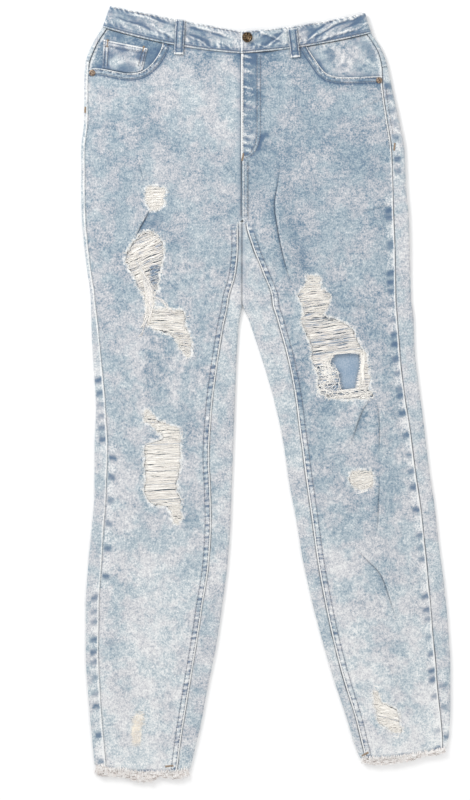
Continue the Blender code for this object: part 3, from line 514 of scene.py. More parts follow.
# Dark blotches where the side seams' allowances were gathered, from the top down.
LADDERS = {
    ("left", "strip"): (20, 3, -13, -28, -44, -59, -273, -292, -306, -329, -346, -360, -381, -402, -419,
        -457, -492),
    ("left", "panel"): (-84, -110, -142, -173, -207, -244),
    ("right", "strip"): (418, 404, 385, 368, 349, 319, 303, -390, -419, -460),
    ("right", "panel"): (249, 240, 207, 200, 165, 153, 141, 124, 102, 83, 70, 51, 32, 10, 1, -22, -52, -78,
        -101, -122, -152, -187, -203, -219, -269, -287, -300, -323, -346, -369, -381, -403,
        -450, -473),
}

# Soft patches of wear on the fronts: dark above nothing, pale below.
PATCHES = (
    # x, y, half_width, half_height, turn_degrees, amount
    (-6, 345, 6, 16, -35, 0.75),
    (-12, 331, 4, 14, -20, 0.7),
    (4, 329, 9, 4, 0, 0.5),
    (-16, 449, 7, 10, 0, 0.9),
    (-8, 400, 5, 22, -12, 0.35),
    (-40, 466, 14, 9, 30, 0.55),
    (-92, 452, 8, 22, 20, 0.4),
    (-78, 420, 7, 22, 18, 0.25),
    (-212, 352, 16, 30, 0, 0.22),
    (-175, 370, 18, 22, 10, 0.16),
    (-148, 352, 22, 16, 0, 0.18),
    (-196, 345, 9, 46, 0, 0.14),
    (-100, 395, 24, 40, 10, -0.28),
    (-60, 380, 22, 42, 0, -0.22),
    (-205, 402, 24, 16, 0, -0.18),
    (60, 420, 16, 26, 0, 0.16),
    (44, 404, 10, 22, 15, 0.22),
    (28, 396, 10, 30, 10, -0.2),
    (6, 440, 10, 14, 0, 0.3),
    (120, 336, 20, 34, -10, 0.2),
    (84, 352, 12, 20, 0, 0.18),
    (30, 322, 18, 16, 0, 0.22),
    (92, 390, 34, 14, 5, -0.16),
    (60, 290, 26, 30, 0, -0.16),
    (26, 262, 9, 46, 6, 0.24),
    (38, 205, 10, 34, 18, 0.26),
    (50, 172, 9, 26, 12, 0.34),
    (110, 200, 26, 46, 0, -0.12),
    (-4, 168, 10, 34, 8, -0.22),
    (16, 130, 13, 42, 10, -0.2),
    (108, 128, 30, 12, 4, 0.2),
    (130, 70, 20, 24, 0, 0.22),
    (44, 20, 12, 28, 12, 0.42),
    (84, -14, 20, 10, -4, 0.4),
    (60, -42, 16, 36, 0, 0.2),
    (84, -98, 20, 30, 10, 0.24),
    (130, -140, 20, 16, 0, 0.26),
    (170, -120, 20, 34, 0, 0.2),
    (112, -188, 22, 22, 0, 0.28),
    (158, -222, 16, 26, 0, 0.2),
    (96, -240, 14, 40, 8, -0.3),
    (158, -330, 14, 40, 14, 0.24),
    (120, -350, 20, 40, 14, -0.24),
    (168, -458, 20, 12, 0, 0.35),
    (182, -420, 16, 22, 0, 0.2),
    (-151, 236, 11, 13, -16, 0.42),
    (-158, 222, 14, 9, 0, 0.42),
    (-120, 218, 12, 22, 0, 0.26),
    (-64, 240, 14, 18, 0, 0.2),
    (-160, 36, 5, 60, -2, 0.3),
    (-142, 30, 22, 26, 0, 0.26),
    (-122, -32, 20, 12, 0, 0.32),
    (-140, 84, 16, 14, 0, 0.4),
    (-148, -56, 14, 10, 0, 0.42),
    (-104, -60, 12, 34, 0, 0.3),
    (-110, -150, 14, 26, 0, 0.26),
    (-142, -168, 16, 16, 0, 0.3),
    (-96, -176, 10, 40, 0, 0.16),
    (-178, 60, 18, 40, 0, -0.26),
    (-120, 6, 8, 44, 0, -0.3),
    (-116, -120, 8, 26, 0, -0.16),
    (-150, -260, 22, 50, 4, -0.2),
    (-160, -330, 24, 40, 0, -0.22),
    (-120, -402, 22, 40, -18, -0.2),
    (-118, -376, 8, 38, -22, 0.26),
    (-206, -330, 8, 46, 0, 0.3),
    (-196, -410, 12, 30, 0, 0.16),
    (-134, -430, 10, 34, 0, 0.26),
    (-128, -470, 16, 14, 0, 0.24),
    (-156, -300, 30, 10, 0, 0.2),
    (-200, -228, 14, 12, 0, 0.2),
    (-190, 180, 22, 40, 0, 0.16),
    (-206, 250, 20, 34, 0, 0.14),
    (-84, 160, 24, 40, 0, -0.1),
    (-96, 100, 16, 30, 20, 0.14),
)
CREAM_SPOTS = (
    # x, y, half_width, half_height, amount
    (-175, -451, 7, 17, 1.1),
    (-176, -464, 6, 10, 0.8),
    (-170, -436, 6, 9, 0.6),
)


def patches_at(x, y):
    """The soft patches of wear at a place, broken up unevenly."""
    total = np.zeros(np.broadcast(x, y).shape)
    wander_x, wander_y = x + 5 * noise(x, y, 14, 31), y + 7 * noise(x, y, 19, 32)
    for at_x, at_y, half_width, half_height, turn, amount in PATCHES:
        angle = math.radians(turn)
        dx, dy = wander_x - at_x, wander_y - at_y
        u = (dx * math.cos(angle) + dy * math.sin(angle)) / half_width
        v = (-dx * math.sin(angle) + dy * math.cos(angle)) / half_height
        total += amount * np.exp(-(u * u + v * v) * 0.8)
    return total


def ladder(places, along, half=4.2):
    """How dark a gathered seam is along its length, from 0 to 1."""
    total = np.zeros(np.shape(along))
    for k, place in enumerate(places):
        total += (0.78 + 0.22 * math.cos(5 * k)) * np.exp(-np.abs((along - place) / half) ** 2.2)
    return total


def seam_wear_and_shade(wear_and_shade, side, row, across, x, y):
    """Wear and painted shadow lines along the side seam and the inside leg seam, on both of the panels that
    they join.
    """
    tube, left = SIDES[side], side == "left"
    _, _, inner_y, _, outseam, inseam = tube.section(row)
    out = across - outseam
    uneven = np.clip(0.6 + 0.6 * noise(x, y, 9, 40), 0, 1)
    # The seam's white edge belongs to the back on the left and to the front on the right.
    # shade paints a shadow line beside the side seam's groove.
    wear_and_shade.lines(out, ("lift", -0.5, 0.0, 0.9), ("white", 0.6 + 0.4 * uneven, -1.4 if left else 1.4, 1.4),
               ("shade", (0.5 + 0.5 * uneven) * (0.55 if left else 1.0), 1.1 if left else 0.4, 0.75))
    for part, way in (("strip", -1), ("panel", 1)):
        places = LADDERS[side, part]
        off = out * way
        over = ease(1.0, 2.6, off) * ease(14.0 + 2 * noise(x, y, 11, 41), 9.5, off)
        dark = ladder(places, row + 0.2 * off + 1.2 * noise(x, y, 5, 54)) * over
        reach = np.max([ease(26, 12, np.abs(row - place)) for place in places], axis=0)
        wear_and_shade.dark += 0.8 * dark
        wear_and_shade.fade -= 0.5 * dark
        wear_and_shade.lift -= 0.3 * dark
        wear_and_shade.white += 0.5 * reach * over * np.clip(1 - 1.6 * ladder(places, row + 0.25 * off, 6.0), 0, 1)
    on_leg = ease(CROTCH_Y + 2, CROTCH_Y - 6, inner_y)
    into = tube.width(row) - inseam - across
    beat = beats(row + 0.2 * into, 6.6, 43 if left else 44)
    edge = on_leg * 0.8 * (0.6 + 0.4 * beat)
    # At the inside leg seam, shade is a painted shadow line beside the white edge.
    wear_and_shade.lines(into, ("lift", -0.5 * on_leg, 0.0, 0.9), ("white", on_leg * (0.8 + 0.3 * uneven), 1.0, 1.2),
               ("shade", on_leg * (0.45 + 0.5 * uneven), -0.6, 0.9), ("dark", edge, 2.6, 1.0),
               ("dark", edge, 8.6, 1.2))
    wear_and_shade.fade += on_leg * 0.25 * noise(x, y, 12, 42) * ease(14, 6, into)
    band = ease(2.4, 3.2, into) * ease(8.6, 7.4, into)
    wear_and_shade.rope(0.75 * beat + 0.8 * noise(x, y, 4, 55), on_leg * band * 0.85)
    wear_and_shade.lift += on_leg * 0.35 * ease(9.2, 8.0, into) * ease(0.2, 1.5, into)


def near_line(line, x, y, margin):
    """Which places lie in the box round a line."""
    low, high = line.min(0) - margin, line.max(0) + margin
    return (x > low[0]) & (x < high[0]) & (y > low[1]) & (y < high[1])


def crease_folds_and_shade(wear_and_shade, side, x, y):
    """Crisp folds, whose raised side laps over the other, with a painted shadow line along each and painted
    shade over the lower side beside it.
    """
    for owner, raised, height, reach, shade, line in CREASE_LINES:
        if owner != side:
            continue
        near = near_line(line, x, y, 30)
        off, share = off_line(line, x[near], y[near])
        off = off * -raised
        fade = np.sin(math.pi * np.clip(share, 0, 1)) ** 0.55
        rise = np.where(off > 0, ease(0.0, 0.9, off) * np.exp(-np.maximum(off - 0.9, 0) / reach), 0.0)
        dip = np.where(off <= 0, 0.45 * np.exp(-(off / 3.5) ** 2), 0.45 * bump(off, 0.5))
        wear_and_shade.lift[near] += fade * height * (rise - dip)
        wear_and_shade.shade[near] += fade * shade * np.where(off <= 0, bump(off, 1.5), bump(off, 0.5))
        wear_and_shade.white[near] += fade * 0.28 * height * bump(off - 2.2, 1.6)
        # Painted shade: the lower side beside the lapping edge is made bluer and darker.
        wear_and_shade.fade[near] -= fade * shade * 0.5 * np.where(off <= 0, bump(off, 7.0), 0.0)


def rip_outline(rows, seed):
    """The ragged outline of a hole, from its rows of height, left edge and right edge."""
    corners = [(left, y) for y, left, _ in rows] + [(right, y) for y, _, right in rows[::-1]]
    corners.append(corners[0])
    line = resample(curve(corners, 1.3), 1.3)[:-1]
    rng = np.random.default_rng(seed)
    x, y = line.T
    wobble = 1.7 * noise(x, y, 6, seed) + 0.8 * noise(x, y, 2.6, seed + 9)
    wobble = wobble + rng.uniform(-0.4, 0.4, len(line))
    ring = np.concatenate((line[-1:], line, line[:1]))
    return line + (beside(ring, 1.0)[1:-1] - line) * wobble[:, None]


RIP_OUTLINES = {name: rip_outline(rows, 50 + k) for k, (name, (_, rows)) in enumerate(RIPS.items())}


def rip_wear(wear_and_shade, side, x, y):
    """Cloth around the rips is worn, with its edges white."""
    for k, (name, outline) in enumerate(RIP_OUTLINES.items()):
        if RIPS[name][0] != side:
            continue
        near = near_line(outline, x, y, 16)
        at_x, at_y = x[near], y[near]
        off = np.abs(off_line(np.concatenate((outline[::3], outline[:1])), at_x, at_y)[0])
        ragged = noise(at_x, at_y, 3.2, 70 + k)
        blue = np.clip(noise(at_x, at_y, 9, 80 + k), 0, 1)
        wear_and_shade.white[near] += 0.75 * ease(3.0, 0.2, off + 2.4 * ragged) + 0.3 * ease(9, 1, off + 5 * ragged)
        wear_and_shade.dark[near] += 0.22 * ease(15, 6, off) * ease(3, 6, off) * blue
        wear_and_shade.lift[near] += 0.5 * ease(3.0, 0.0, off) * (0.4 + 0.6 * ragged)


def fly_stitch(off):
    """The curved row of stitches that holds the fly, at a distance outside its inner row."""
    turn = np.linspace(0, math.pi / 2, 24)
    x_side, low_y, radius = -12.8 + off, 355 - off * 0.6, 19.0 + off
    down = np.stack((np.full(30, x_side), np.linspace(457, low_y, 30)), axis=1)
    bend = np.stack((x_side - radius * (1 - np.cos(turn)), low_y - 34 * np.sin(turn)), axis=1)
    return np.concatenate((down, bend[1:]))


def fly_wear_and_shade(wear_and_shade, from_fly, x, y):
    """The puckered fly with its curved stitches, and the seam below it, with painted shadow lines beside
    them.
    """
    open_fly = ease(FLY_END_Y - 4, FLY_END_Y + 6, y) * ease(468, 452, y)
    beat = beats(y + 0.25 * x, 8.6, 47)
    shape = ease(1.8, 3.6, from_fly) * ease(21, 13 + 4 * noise(x * 0, y, 17, 34), from_fly)
    wear_and_shade.rope(beat + 0.5 * noise(x, y, 5, 52), open_fly * shape * 0.85, 0.5)
    wear_and_shade.fade -= (open_fly * 0.9 * ease(34, 10, from_fly) * ease(2, 5, from_fly)
                  * (0.55 + 0.6 * noise(x, y * 0.6, 9, 53)) * ease(330, 400, y))
    wear_and_shade.white += ease(3.6, 2.2, from_fly) * ease(FLY_END_Y - 6, FLY_END_Y + 2, y)
    edge = 0.85 * (0.8 + 0.4 * beat)
    wear_and_shade.lines(off_line(fly_stitch(2.1), x, y)[0], ("dark", edge, 3.4, 1.2), ("dark", edge, -3.4, 1.2),
               ("white", 0.22 * (0.8 - 0.4 * beat), 0.0, 1.0))
    centre = ease(FLY_END_Y + 4, FLY_END_Y - 6, y) * ease(CROTCH_Y - 4, CROTCH_Y + 4, y)
    # shade paints shadow lines beside the fly's edge and along the seam below it.
    wear_and_shade.lines(from_fly, ("shade", 0.7 * open_fly * (0.6 + 0.5 * noise(x * 0, y, 12, 57)), 4.2, 0.9),
               ("white", 0.6 * centre, 3.2, 0.9), ("shade", 0.6 * centre, 9.8, 0.8))
    wear_and_shade.lift += 0.5 * centre * ease(9.5, 8.0, from_fly)
    wear_and_shade.rope(beats(y, 6.0, 48), centre * bump(from_fly - 5.5, 2.6) * 0.55, 0.2)


def front_wear_and_shade(side, row, across, x, y):
    """Everything that shapes, wears and paints shade on a front panel beyond the solid's own form."""
    wear_and_shade = WearAndShade(x.shape)
    table = np.array(PALENESS[side][::-1])
    soft = patches_at(x, y)
    wear_and_shade.fade += np.interp(y, table[:, 0], table[:, 1]) - 0.8 * soft
    wear_and_shade.dark += 0.75 * ease(0.28, 0.85, soft)
    seam_wear_and_shade(wear_and_shade, side, row, across, x, y)
    crease_folds_and_shade(wear_and_shade, side, x, y)
    rip_wear(wear_and_shade, side, x, y)
    inward = np.abs(off_line(POCKET_LINES[side], x, y)[0])
    beat = beats(x * 1.1 + y * 0.6, 4.6, 45)
    wear_and_shade.lift += 0.55 * ease(POCKET_BAND + 0.6, POCKET_BAND - 0.4, inward) * ease(0.0, 1.2, inward)
    wear_and_shade.rope(beat, 0.55 * bump(inward - POCKET_BAND - 1.4, 2.0))
    wear_and_shade.rope(beats(x + y, 5.2, 46), 0.3 * bump(inward - 4.5, 2.2))
    wear_and_shade.lines(inward, ("white", 0.85 + 0.3 * noise(x, y, 8, 49), 0.9, 0.85), ("white", 0.3, 5.6, 0.8),
               ("dark", 0.95, POCKET_BAND + 0.8, 1.2), ("dark", 0.95, 2.7, 0.8), ("dark", 0.75, 6.9, 0.8),
               ("dark", 0.3 * (0.6 + 0.5 * beat), 4.4, 1.6), ("shade", 0.6, POCKET_BAND + 0.3, 0.7),
               ("shade", 0.6, 2.7, 0.6))
    wear_and_shade.fade -= 0.5 * ease(22, 8, inward) * ease(-0.6, 0.6, noise(x, y, 14, 50))
    below = SIDES[side].plan(np.full(x.shape, SIDES[side].knots[-1]), across)[1] - y
    wear_and_shade.lines(below, ("dark", 0.8, 1.2, 1.6), ("shade", 0.5, 0.5, 0.9),
               ("white", 0.25 * ease(-0.2, 0.6, noise(x, y, 10, 51)), 5.0, 2.5))
    wear_and_shade.fade -= 0.9 * ease(26, 2, below) * ease(-0.5, 0.7, noise(x, y, 13, 33))
    from_fly = x - (CENTRE_X - FLY_OVER)
    if side == "right":
        fly_wear_and_shade(wear_and_shade, from_fly, x, y)
    else:
        above_crotch = ease(CROTCH_Y, CROTCH_Y + 10, y)
        # Painted shade on the left front beside the overlapping fly: a darker band and a shadow line.
        wear_and_shade.dark += 0.4 * ease(9, 0, -from_fly) * above_crotch
        wear_and_shade.shade += 0.6 * ease(2.2, 0.4, -from_fly) * above_crotch
    wear_and_shade.lines(row - SIDES[side].knots[0], ("dark", 0.9 * (0.75 + 0.4 * noise(x, y, 6, 56)), 1.6, 1.6),
               ("white", 0.3, 6.0, 2.4), ("lift", -0.4, 1.0, 1.2))
    return wear_and_shade


def front_height(side, row, across, x, y):
    """The upper surface of a front panel, before its wear lifts or sinks it."""
    tube = SIDES[side]
    z = top_height(tube, row, np.minimum(across, tube.width(row)))
    if side == "right":
        z = z + FLY_RAISE * ease(*FLY_RAISE_Y, tube.section(row)[2]) * ease(*FLY_RAISE_X, x)
    return z


def bare_height(side, x, y):
    """The upper surface of a front panel at places seen from above, before its wear."""
    return front_height(side, *SIDES[side].locate(x, y), x, y)


def surface(side, x, y):
    """The height of the finished cloth on top of a half, at places seen from above."""
    x, y = np.atleast_1d(np.asarray(x, float)), np.atleast_1d(np.asarray(y, float))
    row, across = SIDES[side].locate(x, y)
    return front_height(side, row, across, x, y) + front_wear_and_shade(side, row, across, x, y).lift


# Making meshes.

def mesh_object(name, points, faces, materials, fields=None):
    """A mesh from points in millimetres and faces with the same number of corners each."""
    points, faces = np.asarray(points, float), np.asarray(faces, int)
    corners = faces.shape[1]
    used, faces = np.unique(faces.ravel(), return_inverse=True)
    faces = faces.reshape(-1, corners)
    mesh = bpy.data.meshes.new(name)
    mesh.vertices.add(len(used))
    mesh.vertices.foreach_set("co", (points[used] * MM).astype(np.float32).ravel())
    mesh.loops.add(faces.size)
    mesh.loops.foreach_set("vertex_index", faces.astype(np.int32).ravel())
    mesh.polygons.add(len(faces))
    mesh.polygons.foreach_set("loop_start", np.arange(0, faces.size, corners, dtype=np.int32))
    mesh.update(calc_edges=True)
    mesh.validate()
    for field, values in (fields or {}).items():
        made = mesh.attributes.new(field, "FLOAT", "POINT")
        made.data.foreach_set("value", np.asarray(values, np.float32).ravel()[used])
    mesh.shade_smooth()
    piece = bpy.data.objects.new(name, mesh)
    bpy.context.scene.collection.objects.link(piece)
    for each in materials:
        mesh.materials.append(each)
    return piece


def grid_faces(rows, columns, ring=False):
    """Quads over a grid of points numbered row by row."""
    index = np.arange(rows * columns).reshape(rows, columns)
    right = np.roll(index, -1, axis=1) if ring else index[:, 1:]
    left = index if ring else index[:, :-1]
    return np.stack((left[:-1], right[:-1], right[1:], left[1:]), axis=-1).reshape(-1, 4)


def face_up(points, faces, up=True, judged=None):
    """The faces, turned over if most of them, or of the judged ones, face the wrong way."""
    a, b, c = (points[(faces if judged is None else judged)[:, k]] for k in range(3))
    turned = np.cross(b - a, c - a)[:, 2].sum() > 0
    return faces if turned == up else faces[:, ::-1]


def thicken(piece, wall, inner_slot=0):
    """Gives a sheet its thickness, inwards, with an inner face and rim of another material if asked."""
    shell = piece.modifiers.new("cloth", "SOLIDIFY")
    shell.thickness, shell.offset, shell.use_even_offset = wall * MM, -1.0, False
    shell.material_offset = shell.material_offset_rim = inner_slot


def threads(name, paths, radius, material_, node=None, tint=None, taper=0.35, flat_by=1.0):
    """Many threads as one mesh of square tubes. paths is (thread, point, 3), radius one value or one for
    each thread, tint one for each thread or point, and flat_by how high a thread is for its width."""
    count, length = paths.shape[:2]
    run = np.gradient(paths, axis=1)
    run /= np.maximum(np.linalg.norm(run, axis=2, keepdims=True), 1e-9)
    side = np.cross(run, np.array([0.0, 0.0, 1.0]) + 1e-3)
    flat = np.linalg.norm(side, axis=2, keepdims=True)
    side = np.where(flat > 0.05, side / np.maximum(flat, 1e-9), np.array([1.0, 0.0, 0.0]))
    top = np.cross(side, run)
    angle = (np.arange(4) + 0.5) * math.pi / 2
    size = np.broadcast_to(np.asarray(radius, float).reshape(-1, 1), (count, length)).copy()
    size[:, [0, -1]] *= taper
    out = side[:, :, None] * np.cos(angle)[:, None] + flat_by * top[:, :, None] * np.sin(angle)[:, None]
    ring = paths[:, :, None] + size[:, :, None, None] * out
    index = np.arange(count * length * 4).reshape(count, length, 4)
    after = np.roll(index, -1, axis=2)
    walls = np.stack((index[:, :-1], after[:, :-1], after[:, 1:], index[:, 1:]), axis=-1).reshape(-1, 4)
    faces = np.concatenate((walls, index[:, 0, [0, 3, 2, 1]], index[:, -1]))
    fields = {}
    if tint is not None:
        tint = np.broadcast_to(np.asarray(tint, float).reshape(count, -1), (count, length))
        fields["tint"] = np.repeat(tint.ravel(), 4)
    finish_piece(mesh_object(name, ring.reshape(-1, 3), faces, [material_], fields), node)


def finish_piece(piece, node=None):
    """Rides on the one body and stands for a solid."""
    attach(piece, "root")
    if node:
        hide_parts(node)


# Materials.

def srgb(red, green, blue):
    """A colour given as it looks on a screen, from 0 to 255."""
    def linear(value):
        value /= 255.0
        return value / 12.92 if value <= 0.04045 else ((value + 0.055) / 1.055) ** 2.4
    return (linear(red), linear(green), linear(blue), 1.0)


class Nodes:
    """A material's nodes, made one by one and linked as they are made."""

    def __init__(self, name):
        self.material = bpy.data.materials.new(name)
        self.material.use_nodes = True
        self.tree = self.material.node_tree
        self.shader = self.tree.nodes["Principled BSDF"]
        self.place = self.add("ShaderNodeTexCoord").outputs["Object"]

    def add(self, kind, **settings):
        made = self.tree.nodes.new(kind)
        for key, value in settings.items():
            setattr(made, key, value)
        return made

    def put(self, socket, value):
        if hasattr(value, "links") or hasattr(value, "is_linked"):
            self.tree.links.new(value, socket)
        else:
            socket.default_value = value

    def stretched(self, x, y, z, turn=0.0):
        made = self.add("ShaderNodeMapping")
        made.inputs["Scale"].default_value = (x, y, z)
        made.inputs["Rotation"].default_value = (0, 0, math.radians(turn))
        self.put(made.inputs["Vector"], self.place)
        return made.outputs["Vector"]

    def noise(self, scale, detail=3.0, rough=0.55, vector=None):
        made = self.add("ShaderNodeTexNoise")
        made.inputs["Scale"].default_value = scale
        made.inputs["Detail"].default_value = detail
        made.inputs["Roughness"].default_value = rough
        self.put(made.inputs["Vector"], vector if vector is not None else self.place)
        return made.outputs["Fac"]

    def math(self, operation, a, b=0.0, clamp=False):
        made = self.add("ShaderNodeMath", operation=operation, use_clamp=clamp)
        self.put(made.inputs[0], a)
        self.put(made.inputs[1], b)
        return made.outputs[0]

    def span(self, value, low, high, to_low=0.0, to_high=1.0):
        made = self.add("ShaderNodeMapRange", interpolation_type="SMOOTHSTEP")
        self.put(made.inputs["Value"], value)
        for key, number in (("From Min", low), ("From Max", high), ("To Min", to_low), ("To Max", to_high)):
            made.inputs[key].default_value = number
        return made.outputs["Result"]

    def mix(self, amount, a, b):
        made = self.add("ShaderNodeMix", data_type="RGBA")
        self.put(made.inputs[0], amount)
        self.put(made.inputs[6], a)
        self.put(made.inputs[7], b)
        return made.outputs[2]

    def field(self, name):
        return self.add("ShaderNodeAttribute", attribute_name=name).outputs["Fac"]

    def wave(self, scale, vector, direction="X", distortion=0.0):
        made = self.add("ShaderNodeTexWave", wave_type="BANDS", bands_direction=direction)
        for key, number in (("Scale", scale), ("Distortion", distortion), ("Detail", 1.0),
                            ("Detail Scale", 2.0)):
            made.inputs[key].default_value = number
        self.put(made.inputs["Vector"], vector)
        return made.outputs["Fac"]

    def look(self, colour, **settings):
        """Sets the colour and other inputs of the shader, with _ for each space in an input's name."""
        self.put(self.shader.inputs["Base Color"], colour)
        for key, value in settings.items():
            self.put(self.shader.inputs[key.replace("_", " ")], value)

    def bumps(self, height, strength, distance):
        made = self.add("ShaderNodeBump")
        made.inputs["Strength"].default_value = strength
        made.inputs["Distance"].default_value = distance
        self.put(made.inputs["Height"], height)
        self.put(self.shader.inputs["Normal"], made.outputs["Normal"])


PALE = srgb(231, 232, 231)
GREY = srgb(196, 197, 201)
MID = srgb(174, 186, 193)
DEEP = srgb(116, 138, 156)
INDIGO = srgb(82, 106, 134)
WORN = srgb(236, 237, 236)
SHADOW = srgb(50, 58, 74)
CREAM = srgb(248, 238, 222)


def denim(name, depth=0.0):
    """Acid-washed denim: pale mottling over blue, indigo left in the hollows, undyed thread on the
    edges and painted shadow lines from the shade field. depth shifts the whole cloth towards blue."""
    n = Nodes(name)
    speckle = n.noise(430, 3, 0.7, n.stretched(1.1, 0.9, 1.0))
    tone = n.math("MULTIPLY", n.math("SUBTRACT", n.noise(28, 3, 0.5), 0.5), 0.35)
    for texture, amount in ((n.noise(120, 3, 0.6, n.stretched(1.2, 1.0, 1.0)), 0.56),
                            (n.noise(210, 2, 0.6, n.stretched(0.7, 1.2, 1.0, 24)), 0.44),
                            (speckle, 1.26), (n.noise(900, 1, 0.5), 0.5)):
        tone = n.math("ADD", tone, n.math("MULTIPLY", n.math("SUBTRACT", texture, 0.5), amount))
    tone = n.math("ADD", tone, n.math("MULTIPLY", n.field("fade"), 0.42))
    tone = n.math("SUBTRACT", tone, 0.02 + depth)
    tint = n.mix(n.span(n.noise(33, 3, 0.6), 0.40, 0.60), GREY, MID)
    base = n.mix(n.math("MULTIPLY", n.math("ADD", tone, 0.02), 2.6, clamp=True), tint, PALE)
    for start, rate, colour in ((-0.02, 2.6, DEEP), (-0.40, 3.0, INDIGO)):
        base = n.mix(n.math("MULTIPLY", n.math("SUBTRACT", start, tone), rate, clamp=True), base, colour)
    ragged = n.math("MULTIPLY", n.math("SUBTRACT", speckle, 0.5), 1.6)
    for field, most, colour in (("dark", 0.9, INDIGO), ("white", 0.92, WORN)):
        edge = n.math("MULTIPLY", ragged, n.span(n.field(field), 0.0, 0.25))
        amount = n.math("ADD", n.field(field), edge, clamp=True)
        base = n.mix(n.span(amount, 0.08, 1.0, 0.0, most), base, colour)
    for field, low, high, most, colour in (("cream", 0.15, 0.8, 0.9, CREAM),
                                           ("shade", 0.1, 1.0, 0.8, SHADOW)):
        base = n.mix(n.span(n.field(field), low, high, 0.0, most), base, colour)
    n.look(base, Roughness=0.92, Specular_IOR_Level=0.2, Sheen_Weight=0.12, Sheen_Roughness=0.5)
    ribs = n.wave(330.0, n.stretched(1.0, 1.0, 1.0, 62), distortion=1.2)
    n.bumps(n.math("ADD", n.math("MULTIPLY", ribs, 0.35), n.math("MULTIPLY", speckle, 0.9)), 0.45, 0.0006)
    return n.material


def plain_denim(name, low, high):
    """The inner face of the cloth, where the white weft hides most of the indigo."""
    n = Nodes(name)
    grain = n.noise(700, 2, 0.6, n.stretched(1.0, 0.7, 1.0))
    amount = n.math("ADD", n.math("MULTIPLY", grain, 0.6), n.math("MULTIPLY", n.noise(40, 2, 0.5), 0.4))
    n.look(n.mix(n.span(amount, 0.35, 0.65), low, high), Roughness=0.95, Specular_IOR_Level=0.15)
    ribs = n.wave(300.0, n.stretched(1.0, 1.0, 1.0, -62))
    n.bumps(n.math("ADD", n.math("MULTIPLY", ribs, 0.4), grain), 0.4, 0.0005)
    return n.material


def thread_cloth(name, light, dull, dark=None):
    """Cotton thread. tint runs from light (0) to dull (1) and beyond it to dark (2)."""
    n = Nodes(name)
    tint = n.field("tint")
    fuzz = n.noise(900, 2, 0.7)
    uneven = n.math("MULTIPLY", n.math("SUBTRACT", fuzz, 0.5), 0.8)
    base = n.mix(n.span(n.math("ADD", tint, uneven), 0.0, 1.0), light, dull)
    if dark:
        base = n.mix(n.span(tint, 1.0, 2.0), base, dark)
    n.look(base, Roughness=0.95, Specular_IOR_Level=0.15, Sheen_Weight=0.2)
    n.bumps(n.math("ADD", n.wave(420.0, n.place, "DIAGONAL"), fuzz), 0.4, 0.0003)
    return n.material


def metal(name, bright, tarnish, rough):
    """Worn metal: bright and tarnished in soft uneven patches, rougher where tarnished."""
    n = Nodes(name)
    cloud = n.noise(500, 3, 0.6)
    n.look(n.mix(n.span(cloud, 0.38, 0.62), tarnish, bright), Metallic=1.0,
           Roughness=n.span(cloud, 0.3, 0.7, rough + 0.15, rough))
    n.bumps(n.noise(1400, 2, 0.6), 0.25, 0.0002)
    return n.material


DENIM_FRONT = denim("denim_front")
DENIM_DEEP = denim("denim_deep", 0.07)
DENIM_INSIDE = plain_denim("denim_inside", srgb(134, 155, 177), srgb(168, 182, 196))
# The weft's dark is a bluish grey: partly indigo left in the threads, partly painted shade among them.
WEFT = thread_cloth("weft_thread", srgb(255, 252, 246), srgb(246, 241, 236), srgb(150, 168, 188))
FRAY = thread_cloth("hem_fray", srgb(255, 253, 251), srgb(236, 229, 225), srgb(160, 148, 142))
STITCH = thread_cloth("stitch_thread", srgb(150, 138, 132), srgb(98, 98, 108), srgb(196, 186, 176))
TACK = thread_cloth("tack_thread", srgb(184, 164, 142), srgb(128, 110, 96))
BRONZE = metal("bronze", srgb(116, 98, 76), srgb(40, 34, 30), 0.38)
COPPER = metal("copper", srgb(176, 156, 138), srgb(96, 84, 76), 0.42)


def cream_at(x, y):
    """Cream showing through where the cloth is nearly worn away."""
    total = np.zeros(np.broadcast(x, y).shape)
    for at_x, at_y, half_width, half_height, amount in CREAM_SPOTS:
        total += amount * np.exp(-((x - at_x) / half_width) ** 2 - ((y - at_y) / half_height) ** 2)
    return total * (0.75 + 0.5 * noise(x, y, 3.5, 35))


# The panels.

FRONT_GRAIN = 2.6
SEAM_OFFSETS = (0.0, 0.6, 1.2, 1.9, 2.8, 3.9, 5.2, 6.6, 8.2)


def front_edges(side):
    """The outline of a front panel, and lines beside its seams, as places seen from above."""
    tube = SIDES[side]
    top, bottom = tube.knots[-1] - SEAM / 2, tube.knots[0] + SEAM / 2
    rows = np.arange(bottom, top, 1.9)
    rows = np.append(rows, top)
    _, _, inner_y, _, outseam, inseam = tube.section(rows)
    start = outseam + SEAM / 2
    lap = FLY_UNDER if side == "left" else FLY_OVER
    torso = tube.width(rows) + lap * ease(FLY_END_Y - 5, FLY_END_Y, inner_y)
    leg = tube.width(rows) - inseam - SEAM / 2
    reach = torso + (leg - torso) * ease(CROTCH_Y + 3, CROTCH_Y - 3, inner_y)
    outer = [np.stack(tube.plan(rows, start + off), axis=1) for off in SEAM_OFFSETS]
    inner = [np.stack(tube.plan(rows, reach - off), axis=1) for off in SEAM_OFFSETS]
    share = np.linspace(0, 1, 90)
    top_line = np.stack(tube.plan(np.full(90, top), start[-1] + (reach[-1] - start[-1]) * share), axis=1)
    low_line = np.stack(tube.plan(np.full(90, bottom), start[0] + (reach[0] - start[0]) * share), axis=1)
    outline = np.concatenate((outer[0], top_line[1:-1], inner[0][::-1], low_line[::-1][1:-1]))
    return outline, outer[1:] + inner[1:]


def thin_out(points, fixed, gap):
    """The points that are no nearer than a gap to any fixed point."""
    cells = {}
    for p in fixed:
        cells.setdefault((int(p[0] // gap), int(p[1] // gap)), []).append(p)
    keep = np.ones(len(points), bool)
    for k, p in enumerate(points):
        i, j = int(p[0] // gap), int(p[1] // gap)
        for a in (i - 1, i, i + 1):
            for b in (j - 1, j, j + 1):
                for q in cells.get((a, b), ()):
                    if (p[0] - q[0]) ** 2 + (p[1] - q[1]) ** 2 < gap * gap:
                        keep[k] = False
    return points[keep]


